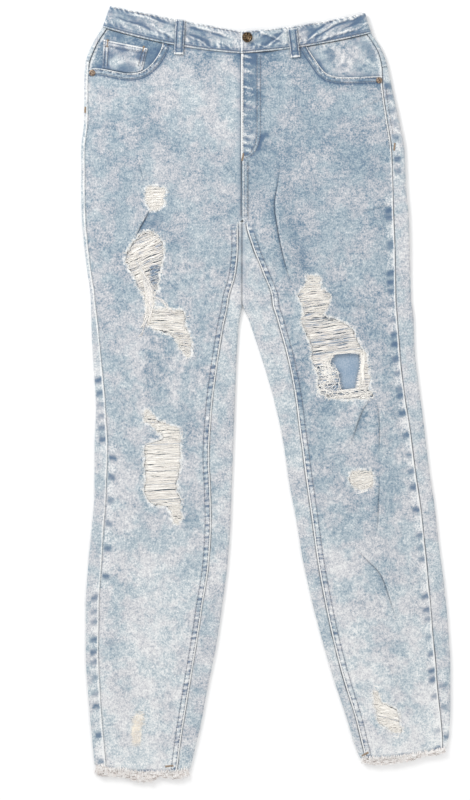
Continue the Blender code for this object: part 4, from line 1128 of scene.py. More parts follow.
def make_front(side):
    """A front panel, cut out round its rips and its pocket opening, with crisp folds along their lines."""
    outline, seam_lines = front_edges(side)
    rips = [RIP_OUTLINES[name] for name in RIPS if RIPS[name][0] == side]
    pocket = POCKET_LINES[side]
    lines, closed = [pocket], [outline] + rips
    for owner, raised, _, _, _, line in CREASE_LINES:
        if owner == side:
            lines += [line, beside(line, -raised * 0.9), beside(line, raised * 1.2)]
    loose = [beside(pocket, way * off) for way in (-1, 1)
             for off in (0.9, POCKET_BAND - 0.6, POCKET_BAND + 0.6, 10.5)]
    low, high = outline.min(0), outline.max(0)
    columns = np.arange(low[0], high[0], FRONT_GRAIN)
    rows = np.arange(low[1], high[1], FRONT_GRAIN * 0.87)
    x, y = np.meshgrid(columns, rows)
    x = x + (np.arange(len(rows)) % 2)[:, None] * FRONT_GRAIN / 2
    fill = np.stack((x.ravel(), y.ravel()), axis=1)
    fill = fill[inside(outline[::2], fill[:, 0], fill[:, 1])]
    fixed = np.concatenate([*closed, *lines])
    soft = np.concatenate([*seam_lines, *loose])
    soft = soft[inside(outline, soft[:, 0], soft[:, 1])]
    soft = thin_out(soft, fixed, 0.45)
    fill = thin_out(fill, np.concatenate((fixed, soft)), 1.35)
    points = np.concatenate((fixed, soft, fill))
    edges, first = [], 0
    for line in closed:
        edges += [(first + k, first + (k + 1) % len(line)) for k in range(len(line))]
        first += len(line)
    for line in lines:
        edges += [(first + k, first + k + 1) for k in range(len(line) - 1)]
        first += len(line)
    found = delaunay_2d_cdt([Vector(p) for p in points], edges, [], 0, 0.02)
    plan = np.array([tuple(v) for v in found[0]])
    faces = np.array(found[2])
    middle = plan[faces].mean(axis=1)
    keep = inside(outline, middle[:, 0], middle[:, 1])
    for rip in rips:
        keep &= ~inside(rip, middle[:, 0], middle[:, 1])
    corner = (-400, 600) if side == "left" else (400, 600)
    opening = np.concatenate((pocket, [(corner[0], pocket[-1][1]), corner, (pocket[0][0], corner[1])]))
    keep &= ~inside(opening, middle[:, 0], middle[:, 1])
    faces = faces[keep]
    x, y = plan[:, 0], plan[:, 1]
    row, across = SIDES[side].locate(x, y)
    wear_and_shade = front_wear_and_shade(side, row, across, x, y)
    z = front_height(side, row, across, x, y) + wear_and_shade.lift
    points = np.stack((x, y, z), axis=1)
    piece = mesh_object("jeans_front_" + side, points, face_up(points, faces), [DENIM_FRONT, DENIM_INSIDE],
                        wear_and_shade.fields(cream_at(x, y)))
    thicken(piece, DENIM, 1)
    finish_piece(piece, "front_" + side)
    cloth_area(points, faces)


def cloth_area(points, faces):
    """The area in square metres of some faces."""
    total = 0.0
    for k in range(1, faces.shape[1] - 1):
        a, b, c = points[faces[:, 0]], points[faces[:, k]], points[faces[:, k + 1]]
        total += np.linalg.norm(np.cross(b - a, c - a), axis=1).sum() / 2
    return total * MM * MM


def lay_grid(name, x, y, z, wear_and_shade, wall, node, cloths=None, up=True, judged=None,
             cream=None):
    """A piece of cloth from a grid of places. cloths are its outer and
    inner materials, and judged the number of columns that tell which way it faces."""
    cloths = cloths or (DENIM_FRONT, DENIM_INSIDE)
    points = np.stack((x, y, z), axis=-1)
    along = np.linalg.norm(np.diff(points, axis=0), axis=2).sum(axis=0).max()
    around = np.linalg.norm(np.diff(points, axis=1), axis=2).sum(axis=1).max()
    points, grid = points.reshape(-1, 3), grid_faces(*x.shape)
    sample = grid.reshape(len(x) - 1, -1, 4)[:, :judged].reshape(-1, 4)
    faces = face_up(points, grid, up, sample)
    piece = mesh_object("jeans_" + name, points, faces, cloths, wear_and_shade.fields(cream))
    thicken(piece, wall, len(cloths) - 1)
    finish_piece(piece, node)
    min(cloth_area(points, grid), around * along * MM * MM)


def wrap(tube, row, girth):
    """A point on the outside of a back panel: girth 0 to 1 is the strip from the inseam, 1 to 2 the
    inner fold, 2 to 3 underneath, 3 to 4 the outer fold and 4 to 5 the strip to the side seam."""
    _, _, inner_y, _, outseam, inseam = tube.section(row)
    width = tube.width(row)
    on_leg = ease(CROTCH_Y + 3, CROTCH_Y - 3, inner_y)
    inner_reach = width - FOLD_DEPTH * on_leg
    low = floor_height(inner_y)
    part = np.clip(np.floor(girth), 0, 4)
    f = girth - part
    turn = math.pi * np.where(part == 1, f, 1 - f)
    bulge = FOLD_DEPTH * np.sin(turn)
    across = np.choose(part.astype(int), [
        width - inseam + SEAM / 2 + f * (inseam - SEAM / 2 - FOLD_DEPTH),
        width - FOLD_DEPTH + bulge,
        inner_reach + f * (FOLD_DEPTH - inner_reach),
        FOLD_DEPTH - bulge,
        FOLD_DEPTH + f * (outseam - SEAM / 2 - FOLD_DEPTH),
    ])
    x, y = tube.plan(row, across)
    top = top_height(tube, row, across)
    z = np.choose(part.astype(int), [
        top, low + (top - low) * (1 + np.cos(turn)) / 2, low,
        low + (top - low) * (1 + np.cos(turn)) / 2, top,
    ])
    return x, y, z, across


def part_columns(*parts):
    """Girth values over the parts of a wrap, each with its own number of cells."""
    return np.concatenate([np.linspace(start, start + 1, cells + 1)[(0 if k == 0 else 1):]
                           for k, (start, cells) in enumerate(parts)])


def yoke_row(tube, girth):
    """The height of the yoke's lower seam, which drops towards the centre back."""
    f = np.clip(3 - girth, 0, 1)
    return tube.knots[-1] - YOKE_AT_SIDE - f * (YOKE_AT_CENTRE - YOKE_AT_SIDE)


def back_wear_and_shade(side, row, across, x, y, girth):
    """Wear on a back panel: seams with their painted shadow lines where it shows on top, and soft patches
    beneath.
    """
    wear_and_shade = WearAndShade(x.shape)
    seam_wear_and_shade(wear_and_shade, side, row, across, x, y)
    beneath = 1.0 * ((girth > 1.75) & (girth < 3.25))
    for values in (wear_and_shade.dark, wear_and_shade.white, wear_and_shade.shade, wear_and_shade.lift):
        values *= 1 - beneath
    under = noise(x + 300, y, 38, 36)
    hem = row - SIDES[side].knots[0]
    wear_and_shade.dark += beneath * 0.3 * np.clip(under, 0, 1) + 0.5 * bump(hem - 1.2, 1.1)
    wear_and_shade.white += beneath * 0.3 * np.clip(-under, 0, 1) + 0.25 * ease(60, 0, hem)
    fold = sum(np.where((girth > k) & (girth < k + 1), np.sin(math.pi * (girth - k)), 0.0) for k in (1, 3))
    wear_and_shade.white += 0.25 * fold * (0.6 + 0.6 * noise(x * 0, y, 9, 37))
    wear_and_shade.dark += 0.25 * fold * np.clip(noise(x * 0, y, 14, 38), 0, 1)
    crotch = ease(CROTCH_Y + 4, CROTCH_Y - 30, y) * ease(120, 170, y) * (1 - beneath)
    wear_and_shade.dark += 0.35 * crotch * ease(12, 0, np.abs(x - CENTRE_X))
    return wear_and_shade


# How many cells each part of a back panel's wrap has, from the inseam round to the side seam.
BACK_CELLS = ((0, 14), (1, 6), (2, 24), (3, 6), (4, 9))
BACK_TOP_ROWS = 54
BACK_LEG_ROWS = 250


def make_back(side):
    """A back panel from the yoke to the hem, wrapped round both edges of the leg."""
    tube = SIDES[side]
    girth = part_columns(*BACK_CELLS)[None, :]
    top = np.linspace(tube.knots[-1] - YOKE_AT_SIDE, CROTCH_Y + 6, BACK_TOP_ROWS)
    leg = np.linspace(CROTCH_Y + 3, tube.knots[0] + SEAM / 2, BACK_LEG_ROWS)
    rows = np.concatenate((top, leg))[:, None]
    drop = (rows[0] - rows) / (rows[0] - top[-1])
    below = yoke_row(tube, girth) - YOKE_SEAM / 2
    rows = np.where(rows >= top[-1], below + (top[-1] - below) * drop, rows)
    girth = np.broadcast_to(girth, rows.shape)
    x, y, z, across = wrap(tube, rows, girth)
    wear_and_shade = back_wear_and_shade(side, rows, across, x, y, girth)
    points = np.stack((x, y, z + wear_and_shade.lift), axis=-1)
    points = points.reshape(-1, 3)
    faces = grid_faces(*rows.shape).reshape(rows.shape[0] - 1, -1, 4)
    keep = np.ones(faces.shape[:2], bool)
    keep[:BACK_TOP_ROWS, :BACK_CELLS[0][1] + BACK_CELLS[1][1]] = False
    faces = face_up(points, faces[keep], up=False)
    piece = mesh_object("jeans_back_" + side, points, faces, [DENIM_FRONT, DENIM_INSIDE], wear_and_shade.fields())
    thicken(piece, DENIM, 1)
    finish_piece(piece, "back_" + side)


def make_yoke(side):
    """The yoke between the waistband and a back panel."""
    tube = SIDES[side]
    girth = part_columns((2, 40), (3, 7), (4, 3))[None, :]
    share = np.linspace(0, 1, 26)[:, None]
    high = tube.knots[-1] - SEAM / 2
    rows = high + (yoke_row(tube, girth) + YOKE_SEAM / 2 - high) * share
    x, y, z, _ = wrap(tube, rows, np.broadcast_to(girth, rows.shape))
    wear_and_shade = WearAndShade(x.shape)
    wear_and_shade.lines((rows[0] - rows[-1]) * (1 - share), ("white", 0.5, 2.0, 1.5), ("dark", 0.7, 4.6, 1.2))
    wear_and_shade.dark += 0.25 * np.clip(noise(x, y, 20, 39), 0, 1)
    lay_grid("yoke_" + side, x, y, z, wear_and_shade, DENIM, "yoke_" + side,
             up=False)


# Folds of the waistband: the cloth sinks along them and stands up, worn white, beside them.
BAND_CREASES = (
    # side, depth, ridge_side, points
    ("left", 1.0, -1, ((-191, 515.4), (-159.6, 509.2), (-128, 497.5))),
    ("left", 0.8, -1, ((-204.5, 507.8), (-177.5, 500.2), (-150.5, 488.4))),
    ("left", 0.9, 1, ((-159.5, 498.5), (-139.3, 487.3), (-123.5, 476.3))),
    ("left", 1.0, 1, ((-107.7, 496.5), (-78.6, 489.8), (-44.8, 478.6))),
    ("left", 1.0, -1, ((-107.7, 486.3), (-87.5, 477.3), (-69.5, 466))),
    ("left", 0.6, 1, ((-88.5, 499.5), (-66.5, 494.4), (-42.5, 489.6))),
    ("left", 0.7, 1, ((-66, 474), (-56, 470), (-46, 464))),
    ("right", 1.0, 1, ((47.5, 467.4), (72.2, 487.6), (99.2, 500.2), (133, 511))),
    ("right", 0.9, 1, ((52, 465.1), (85.7, 480.9), (117.2, 489.8), (139.7, 500.2))),
    ("right", 0.8, -1, ((54.2, 478.6), (72.2, 494.4), (94.7, 504.6))),
    ("right", 0.9, 1, ((-13.3, 488.1), (4.7, 480.9), (25, 474.3))),
    ("right", 1.0, -1, ((-8.8, 467.5), (9.2, 476.9), (25, 489.8))),
    ("right", 0.7, 1, ((-20.3, 474), (-12, 468), (2, 465))),
    ("right", 0.6, -1, ((96, 488), (116, 497), (136, 503))),
)


def band_folds(wear_and_shade, side, x, y, showing):
    """Adds the folds of the waistband where it shows."""
    for owner, depth, ridge, points in BAND_CREASES:
        if owner != side:
            continue
        off, share = off_line(curve(points, 3.0), x.ravel(), y.ravel())
        off, share = off.reshape(x.shape) * ridge + 1.1 * noise(x, y, 9, 69), share.reshape(x.shape)
        amount = depth * showing * np.sin(math.pi * np.clip(share, 0.0, 1.0)) ** 0.5
        wear_and_shade.lines(off, ("dark", 0.9 * amount, -1.0, 1.3), ("dark", 0.35 * amount, -3.6, 3.0),
                   ("shade", 0.5 * amount, -0.4, 0.7), ("white", 0.5 * amount, 2.2, 1.1),
                   ("lift", 0.6 * amount, 2.4, 2.4), ("lift", -0.7 * amount, -0.8, 1.4))


BAND_COLUMNS = 140
BAND_BACK_COLUMNS = 40


def make_band(side):
    """Half of the waistband, folded round at the side."""
    tube, left = BANDS[side], side == "left"
    lap = TAB_UNDER if left else FLY_OVER
    share = np.concatenate(([0, 0.012, 0.03, 0.055], np.linspace(0.08, 0.93, 34), [0.95, 0.97, 0.988, 1.0]))
    share = share[:, None]
    rows = tube.knots[0] + (tube.knots[-1] - tube.knots[0]) * share
    width = tube.width(rows)
    flat, back_flat = np.linspace(0, 1, BAND_COLUMNS), np.linspace(0, 1, BAND_BACK_COLUMNS)
    turn = np.linspace(0, math.pi, 11)[1:-1]
    across = np.concatenate(((width + lap) + (BAND_FOLD - width - lap) * flat,
                             BAND_FOLD * (1 - np.sin(turn)) + 0 * width,
                             BAND_FOLD + (width - BAND_FOLD) * back_flat), axis=1)
    heights = np.concatenate((np.ones_like(flat), (1 + np.cos(turn)) / 2, np.zeros_like(back_flat)))
    x, y = tube.plan(rows, across)
    z = BAND_FLOOR + BAND_HEIGHT * heights + 0 * x
    in_front = 1.0 * (heights + 0 * x > 0.5)
    if left:
        y = y + UNDERLAP_RISE * (1 - share) * ease(0, 3, across - width)
    else:
        z = z + TAB_RAISE * (heights == 1.0) * ease(*TAB_RAISE_X, x)
    deep = (tube.knots[-1] - tube.knots[0]) * 1.05
    above = share * deep
    wear_and_shade = WearAndShade(x.shape)
    pucker = beats(x + (0.35 if left else -0.35) * above, 7.2 if left else 8.0, 61 if left else 62)
    low_part = ease(3.0, 5.0, above) * ease(15, 9, above)
    wear_and_shade.rope(pucker, 0.62 * low_part * (0.65 + 0.35 * noise(x, y * 0, 60, 63)), 0.45)
    wear_and_shade.rope(beats(x + 0.8 * above, 6.0, 64), 0.6 * ease(deep - 7, deep - 3, above), 0.35)
    band_folds(wear_and_shade, side, x, y, in_front * ease(1.5, 4.0, above))
    wear_and_shade.fade -= 0.12 + 0.35 * noise(x * 0.75 + above * 0.9, above * 1.4 + 0.1 * x, 15, 65)
    lean = math.radians(-24 if left else 24)
    u, v = x * math.cos(lean) + above * math.sin(lean), above * math.cos(lean) - x * math.sin(lean)
    streak = noise(u * 0.45, v * 1.5, 9, 67) + 0.55 * noise(u * 0.7, v * 1.8, 6.5, 68)
    inner, top_end = ease(3, 8, above), ease(deep, deep - 6, above)
    wear_and_shade.dark += 0.42 * ease(0.05, 0.6, streak) * inner
    wear_and_shade.white += 0.3 * ease(0.1, 0.6, -streak) * inner
    wear_and_shade.lines(streak, ("shade", 0.25 * inner, 0.28, 0.10), ("white", 0.15 * inner, -0.12, 0.12))
    wear_and_shade.lift += top_end * (0.5 * noise(x, above, 16, 66) * ease(2, 8, above)
                            - 0.45 * np.clip(streak, -1, 1) * inner)
    wear_and_shade.lines(above, ("dark", 0.35 * (0.7 + 0.5 * noise(x, above, 10, 70)), deep - 7.5, 1.6),
               ("white", 0.4, 1.0, 0.8), ("white", 0.4, deep - 0.8, 1.0), ("dark", 0.95, 2.9, 1.0),
               ("dark", 0.6, 5.4, 0.9), ("shade", 0.4, 2.9, 0.7), ("lift", -0.9, -0.2, 0.9),
               ("lift", -0.9, deep + 0.2, 1.0), ("lift", -0.25, 2.9, 0.8))
    if not left:
        from_end = x - (CENTRE_X - FLY_OVER)
        wear_and_shade.white += 0.95 * ease(2.8, 1.4, from_end)
        wear_and_shade.lift -= 0.8 * ease(1.0, 0.0, from_end)
        wear_and_shade.shade += 0.5 * bump(from_end - 3.6, 0.8)
    z = z + wear_and_shade.lift * (2 * in_front - 1)
    lay_grid("waistband_" + side, x, y, z, wear_and_shade, BAND_CLOTH, "waistband_" + side,
             (DENIM_DEEP,), judged=BAND_COLUMNS - 10)


def make_facings():
    """Darker cloth under the pocket openings."""
    for side, tube in SIDES.items():
        far_x, low_y = FACINGS[side]
        steps = np.linspace(0, 1, 62)[None, :]
        row = tube.knots[-1] - SEAM
        rows = row - (row - low_y) * np.linspace(0, 1, 38)[:, None] + 0 * steps
        start = tube.section(rows)[4] + SEAM
        reach = np.abs(far_x - tube.section(rows)[0])
        across = start + (reach - start) * steps
        x, y = tube.plan(rows, across)
        wear_and_shade = WearAndShade(x.shape)
        off = np.abs(off_line(POCKET_LINES[side], x.ravel(), y.ravel())[0].reshape(x.shape))
        cloud, fine = noise(x, y, 17, 91), noise(x, y, 6, 98)
        left = side == "left"
        wear_and_shade.dark += 0.55 * ease(9, 0.5, off + 3 * fine) + 0.4 * ease(0.1, 0.8, cloud + 0.5 * fine)
        wear_and_shade.fade -= (0.85 if left else 0.25) + 0.5 * fine
        edge = across - tube.section(rows)[4]
        wear_and_shade.white += (0.2 if left else 0.45) * ease(-0.1, 0.7, -cloud) + 0.6 * bump(edge - 2.6, 2.0)
        wear_and_shade.shade += 0.2 * ease(1.4, 0.4, edge)
        z = front_height(side, rows, across, x, y) - DENIM - CLEAR - 0.1 + 0.35 * cloud
        lay_grid("facing_" + side, x, y, z, wear_and_shade, FACING_CLOTH, "pocket_facing_" + side)


def make_coin_pocket():
    """The coin pocket on the left facing, with a stitched upper edge."""
    edges = np.array(COIN_POCKET, float)
    steps = np.linspace(0, 1, 40)
    knots = np.linspace(0, 1, len(edges))
    top_x, top_y, low_x, low_y = (np.interp(steps, knots, column) for column in edges.T)
    share = np.linspace(0, 1, 28)[:, None]
    x, y = top_x + (low_x - top_x) * share, top_y + (low_y - top_y) * share
    depth = share * COIN_DEPTH
    from_side = np.minimum(steps, 1 - steps)[None, :] * COIN_WIDTH
    wear_and_shade = WearAndShade(x.shape)
    cloud = noise(x, y, 13, 92)
    wear_and_shade.lines(depth, ("white", 0.75, 0.8, 0.9), ("dark", 0.9, 7.8, 2.2), ("dark", 0.7, 2.8, 0.9),
               ("shade", 0.5, 8.6, 0.8))
    wear_and_shade.lines(from_side, ("white", 0.6, 0.7, 0.8), ("white", 0.4, 4.6, 0.8), ("dark", 0.8, 2.6, 1.0),
               ("dark", 0.6, 6.8, 1.0), ("shade", 0.4, 2.6, 0.7))
    wear_and_shade.white += 0.45 * ease(-0.1, 0.6, -cloud)
    wear_and_shade.dark += (0.45 * ease(-0.1, 0.5, cloud)
                  + 0.6 * ease(16, 4, from_side) * ease(-0.3, 0.5, noise(x, y, 8, 100))
                  + 0.5 * ease(5, 13, depth) * ease(24, 14, depth) + 0.5 * ease(28, 40, depth))
    wear_and_shade.fade -= 0.1 + 0.5 * noise(x, y, 7, 99)
    wear_and_shade.lift += 0.5 * ease(8.5, 7.2, depth) - 0.8 * ease(0.8, 0.0, depth) - 0.8 * ease(0.8, 0, from_side)
    z = bare_height("left", x, y) - CLEAR + 0.3 + wear_and_shade.lift
    lay_grid("coin_pocket", x, y, z, wear_and_shade, FACING_CLOTH, "coin_pocket")


def strip_grid(low, high, width, length_cells, width_cells):
    """Places on a straight strip, with the share of its length and the distance from its middle."""
    low, high = np.array(low, float), np.array(high, float)
    run = (high - low) / np.linalg.norm(high - low)
    share = np.linspace(0, 1, length_cells + 1)[:, None]
    off = np.linspace(width / 2, -width / 2, width_cells + 1)[None, :]
    plan = low + (high - low) * share[..., None] + np.array((-run[1], run[0])) * off[..., None]
    return plan[..., 0], plan[..., 1], share + 0 * off, off + 0 * share


def loop_start(side):
    """The height of the cloth where a front belt loop is sewn on below the waistband."""
    low = FRONT_LOOPS[side][0]
    return float(surface(side, low[0], low[1] + 4)[0]) + CLEAR


def loop_arch(start, share):
    """The underside of a front belt loop along its length, from the panel up over the waistband."""
    rise = np.interp(share, (0, 0.16, 0.3, 0.5, 0.75, 0.9, 1.0), (0, 0.0, 0.4, 1.0, 1.0, 0.5, 0.0))
    return start + (BAND_FLOOR + BAND_HEIGHT + CLEAR - start) * ease(0.08, 0.2, share) + rise


def make_loop(name, low, high, start=None):
    """A belt loop: two folded edges with a paler middle, stitched near both edges. One on the back has no
    start and lies flat under the waistband."""
    x, y, share, off = strip_grid(low, high, LOOP_WIDTH, 44, 14)
    along = share * math.dist(low, high)
    to_end = math.dist(low, high) - along
    wear_and_shade = WearAndShade(x.shape)
    edge = LOOP_WIDTH / 2 - np.abs(off)
    wear_and_shade.lines(edge, ("white", 0.6, 0.6, 0.8), ("dark", 1.1, 2.4, 1.3), ("shade", 0.5, 2.4, 0.8))
    wear_and_shade.white += 0.4 * bump(off, 2.4) * ease(-0.4, 0.4, noise(x, y, 8, 89)) + 0.6 * bump(to_end - 0.8, 1.0)
    wear_and_shade.dark += 0.5 * ease(-0.2, 0.6, noise(x, y, 6, 93))
    wear_and_shade.shade += 0.6 * ease(0.5, 0.0, edge)
    wear_and_shade.fade -= 0.75
    wear_and_shade.rope(beats(along, 5.5, 94), 0.25 * bump(edge - 2.0, 1.2), 0.2)
    wear_and_shade.lines(along, ("white", 0.9, 1.4, 1.2), ("dark", 0.9, 8.5, 1.4), ("dark", 0.7, 4.2, 1.0))
    wear_and_shade.lift += 0.35 * bump(off, 3.6) - 0.8 * ease(0.9, 0.0, edge)
    wear_and_shade.lift += 0.7 * ease(8.4, 7.4, along) - 0.7 * ease(1.0, 0.0, along)
    if start is None:
        z = BAND_FLOOR - CLEAR - LOOP_CLOTH + 0.1 + 0 * x
    else:
        z = loop_arch(start, share) + LOOP_CLOTH + wear_and_shade.lift
    cream = 0.25 * bump(off, 3.0) * ease(0, 0.5, noise(x, y, 9, 95) + 0.3)
    lay_grid(name, x, y, z, wear_and_shade, LOOP_CLOTH, name,
             (DENIM_FRONT,), up=start is not None,
             cream=cream)


def make_loops():
    """Two loops in front and three on the back."""
    for side, (low, high) in FRONT_LOOPS.items():
        make_loop("belt_loop_" + side, low, high, loop_start(side))
    for side, (low, high) in BACK_LOOPS.items():
        make_loop("belt_loop_back_" + side, low, high)


def make_back_pockets():
    """Patch pockets under the seat, with a folded top edge."""
    for side, outward in (("left", -1), ("right", 1)):
        turn = outward * BACK_POCKET_TURN
        share, steps = np.linspace(0, 1, 50)[:, None], np.linspace(-1, 1, 48)[None, :]
        half = POCKET_HALF - POCKET_TAPER * share * (POCKET_SIDE + POCKET_POINT) / POCKET_SIDE
        bottom = POCKET_SIDE + POCKET_POINT * (1 - np.abs(steps))
        u, v = steps * half, -share * bottom
        x = CENTRE_X + outward * BACK_POCKET_OFF_CENTRE + u * math.cos(turn) - v * math.sin(turn)
        y = BACK_POCKET_TOP_Y + u * math.sin(turn) + v * math.cos(turn)
        depth = share * bottom
        edge = np.minimum(np.minimum(POCKET_HALF * (1 - np.abs(steps)), bottom * (1 - share)), depth)
        wear_and_shade = WearAndShade(x.shape)
        wear_and_shade.lines(edge, ("white", 1.0, 0.8, 1.1), ("white", 0.4, 5.4, 0.9), ("dark", 0.95, 3.0, 1.1),
                   ("dark", 0.7, 8.4, 1.2), ("shade", 0.5, 3.0, 0.7), ("shade", 0.4, 8.4, 0.7))
        wear_and_shade.dark += 0.4 * np.clip(noise(x, y, 24, 96), 0, 1)
        wear_and_shade.dark += 0.5 * ease(18, 12, depth) * ease(12, 14, depth)
        wear_and_shade.fade -= 0.3 * ease(40, 4, edge)
        wear_and_shade.rope(beats(x + y, 6, 97), 0.4 * bump(edge - 5.5, 1.8), 0.0)
        lay_grid("back_pocket_" + side, x, y, 0 * x + 0.5 * ease(0.8, 0.0, edge), wear_and_shade, BACK_POCKET_CLOTH,
                 "back_pocket_" + side, cloths=(DENIM_FRONT,), up=False)


def make_zip():
    """The zip behind the fly: its tape and a row of closed teeth."""
    y, x = np.meshgrid(np.linspace(*ZIP_Y, 60), np.linspace(*ZIP_X, 16), indexing="ij")
    level = LEG_HEIGHT + CROWN - DENIM
    lay_grid("zip_tape", x, y, floor_height(y) + level - 0.9, WearAndShade(x.shape), FACING_CLOTH,
             "zip_tape", cloths=(DENIM_DEEP,))
    places = np.arange(ZIP_Y[1] + 4, ZIP_Y[0] - 3, 1.6)[:, None]
    side = np.where(np.arange(len(places)) % 2 == 0, -1.0, 1.0)[:, None]
    reach = np.linspace(0, 1, 4)
    paths = np.stack((sum(ZIP_X) / 2 + side * (2.2 - 2.6 * reach), places + 0 * reach,
                      floor_height(places) + level - 0.6 + 0 * reach), axis=-1)
    threads("jeans_zip_teeth", paths, 0.6, BRONZE, taper=0.9)


# Rips, frayed hems and stitches.

# How each rip's bare threads lie: slope (rise for each mm to the right), wander, and slits where
# neighbouring threads have parted.
RIP_LOOKS = {
    # slope, wander, share of dull threads, slits (x, y, half_length, half_height)
    "left_hip": (0.02, 0.5, 0.2, ()),
    "left_thigh": (0.42, 1.6, 0.35, ((-168, 197, 9, 1.3), (-156, 186, 8, 1.6), (-150, 178, 6, 1.4),
        (-172, 184, 6, 1.2), (-158, 167, 7, 1.4), (-160, 150, 6, 1.2))),
    "left_above_knee": (-0.06, 1.0, 0.3, ((-142, 100, 11, 0.9), (-128, 107, 8, 0.7), (-118, 80, 6, 1.2),
        (-112, 68, 5, 1.0))),
    "left_knee": (0.05, 0.7, 0.22, ((-134, -48, 14, 0.7), (-130, -72, 9, 0.5), (-146, -74, 7, 0.5),
        (-140, -81, 11, 0.6), (-136, -88, 16, 0.4), (-146, -97, 10, 0.5),
        (-138, -103, 13, 0.5), (-148, -110, 9, 0.8), (-134, -116, 12, 0.4),
        (-140, -129, 18, 1.1), (-146, -138, 8, 0.4), (-126, -141, 6, 0.6))),
    "right_knee": (0.12, 0.9, 0.45, ((62, 138, 8, 0.9), (64, 126, 12, 1.1), (68, 120, 9, 1.3),
        (56, 110, 7, 1.2), (62, 101, 10, 1.2), (84, 92, 12, 0.9),
        (70, 84, 9, 0.9), (96, 82, 12, 0.9), (84, 75, 14, 0.8),
        (104, 70, 10, 0.8), (76, 66, 8, 1.0), (68, 58, 7, 1.4))),
    "right_shin": (0.3, 1.4, 0.05, ()),
    "right_ankle": (-0.22, 0.9, 0.05, ()),
}
# How dull and patchy the threads of each rip are.
PATCHY = {"left_hip": 0.0, "left_thigh": 1.1, "left_above_knee": 0.6, "left_knee": 0.15, "right_knee": 1.0,
          "right_shin": 0.0, "right_ankle": 0.0}
# How many small slits each rip has.
SMALL_SLITS = {"left_hip": 1, "left_thigh": 34, "left_above_knee": 20, "left_knee": 20, "right_knee": 56,
               "right_shin": 2, "right_ankle": 3}
THREAD_PITCH = 0.82
THREAD_RADIUS = 0.5
THREAD_POINTS = 11


def rip_edges(rows, y):
    """A hole's left and right edges at some heights."""
    table = np.array(rows[::-1], float)
    return np.interp(y, table[:, 0], table[:, 1]), np.interp(y, table[:, 0], table[:, 2])


def raised(plan, z):
    """Places seen from above with their heights."""
    return np.concatenate((plan, z[..., None]), axis=-1)


def make_weft(name):
    """The bare weft threads that bridge a rip, tied in under the panel's edge and sagging a little."""
    side, rows = RIPS[name]
    slope, wander, dull, slits = RIP_LOOKS[name]
    rng = np.random.default_rng(100 + len(name) * 7 + ord(name[-1]))
    height, bottom = rows[0][0] + 1.0, rows[-1][0] - 1.0
    slits = list(slits)
    for _ in range(SMALL_SLITS[name]):
        at_y = rng.uniform(bottom + 3, height - 3)
        at_x = rng.uniform(*rip_edges(rows, at_y))
        slits.append((at_x, at_y, rng.uniform(2.0, 5.5), rng.uniform(0.5, 1.0)))
    chances = (0.5, 0.5 - dull * 0.6, dull * 0.4, dull * 0.2)
    paths, tints, layers = [], [], []
    share = np.linspace(0, 1, THREAD_POINTS)
    extra = abs(slope) * 30
    for y0 in np.arange(bottom - extra, height + extra, THREAD_PITCH):
        for layer in (0, 1):
            if layer and rng.random() < 0.2:
                continue
            level = y0 + rng.uniform(-0.3, 0.3) + layer * THREAD_PITCH / 2
            left, right = rip_edges(rows, np.clip(level, bottom, height))
            middle = (left + right) / 2
            y_left, y_right = level + slope * (left - middle), level + slope * (right - middle)
            left = rip_edges(rows, np.clip(y_left, bottom, height))[0]
            right = rip_edges(rows, np.clip(y_right, bottom, height))[1]
            if slope > 0.2 and (y_left > height or y_right < bottom):
                continue
            spans = [(left - 3.2, right + 3.2)]
            if name == "right_knee":
                spans = knee_spans(level, left, right, rng)
                if -3 < level < 42 and rng.random() < 0.3:
                    spans = spans[1:]
            for a, b in spans:
                if b - a < 3:
                    continue
                x = a + (b - a) * share
                y = level + slope * (x - middle)
                y = y + wander * noise(x, np.full_like(x, level), 16, 120 + len(name))
                y = y + 0.35 * wander * np.sin(share * math.pi * rng.uniform(1, 3) + rng.uniform(0, 6))
                for slit_x, slit_y, half_length, half_height in slits:
                    away = level + slope * (slit_x - middle) - slit_y
                    push = half_height * 1.1 * math.exp(-abs(away) / 2.0) * (1 if away >= 0 else -1)
                    y = y + push * np.exp(-((x - slit_x) / half_length) ** 2)
                paths.append(np.stack((x, y), axis=1))
                tints.append(rng.choice((0.05, 0.3, 0.9, 1.5), p=chances))
                layers.append(layer)
    paths, layers = np.array(paths), np.array(layers)[:, None]
    x, y = paths[..., 0], paths[..., 1]
    sag = np.sin(share * math.pi) * np.random.default_rng(7).uniform(-0.5, 0.6, (len(paths), 1))
    z = bare_height(side, x, y) - 0.35 - 1.5 * np.abs(share * 2 - 1) ** 8 + sag * 0.5 - 0.7 * layers
    width = THREAD_RADIUS * np.random.default_rng(8).uniform(0.75, 1.2, len(paths))
    patchy = ease(0.0, 0.55, noise(x, y, 9, 170) + 0.5 * noise(x, y, 3.5, 171))
    # Painted shade: threads of the lower layer, which lies 0.7 mm deeper, are tinted duller.
    tint = np.array(tints)[:, None] + 0.4 * layers + PATCHY[name] * patchy
    if name == "right_knee":
        tint = tint + 1.2 * ease(44, 38, y) * ease(-6, 0, y) * ease(102, 96, x)
    if name == "left_thigh":
        tint = tint + 1.5 * ease(182, 168, y) * ease(-163, -156, x)
    threads("jeans_weft_" + name, raised(paths, z), width, WEFT, "weft_" + name, tint, flat_by=0.6)


def knee_spans(level, left, right, rng):
    """The stretches of a thread in the knee rip, which stop at the torn hole."""
    top, bottom = KNEE_HOLE[0][0], KNEE_HOLE[-1][0]
    if not bottom < level < top:
        return [(left - 3.2, right + 3.2)]
    hole_left, hole_right = rip_edges(KNEE_HOLE, level)
    return [(left - 3.2, hole_left + rng.uniform(-1.5, 2.0)),
            (hole_right - rng.uniform(-1.0, 2.0), right + 3.2)]


def pick(line, at):
    """Points of a line at fractional places in its list."""
    return np.stack([np.interp(at, np.arange(len(line)), line[:, k]) for k in (0, 1)], axis=1)


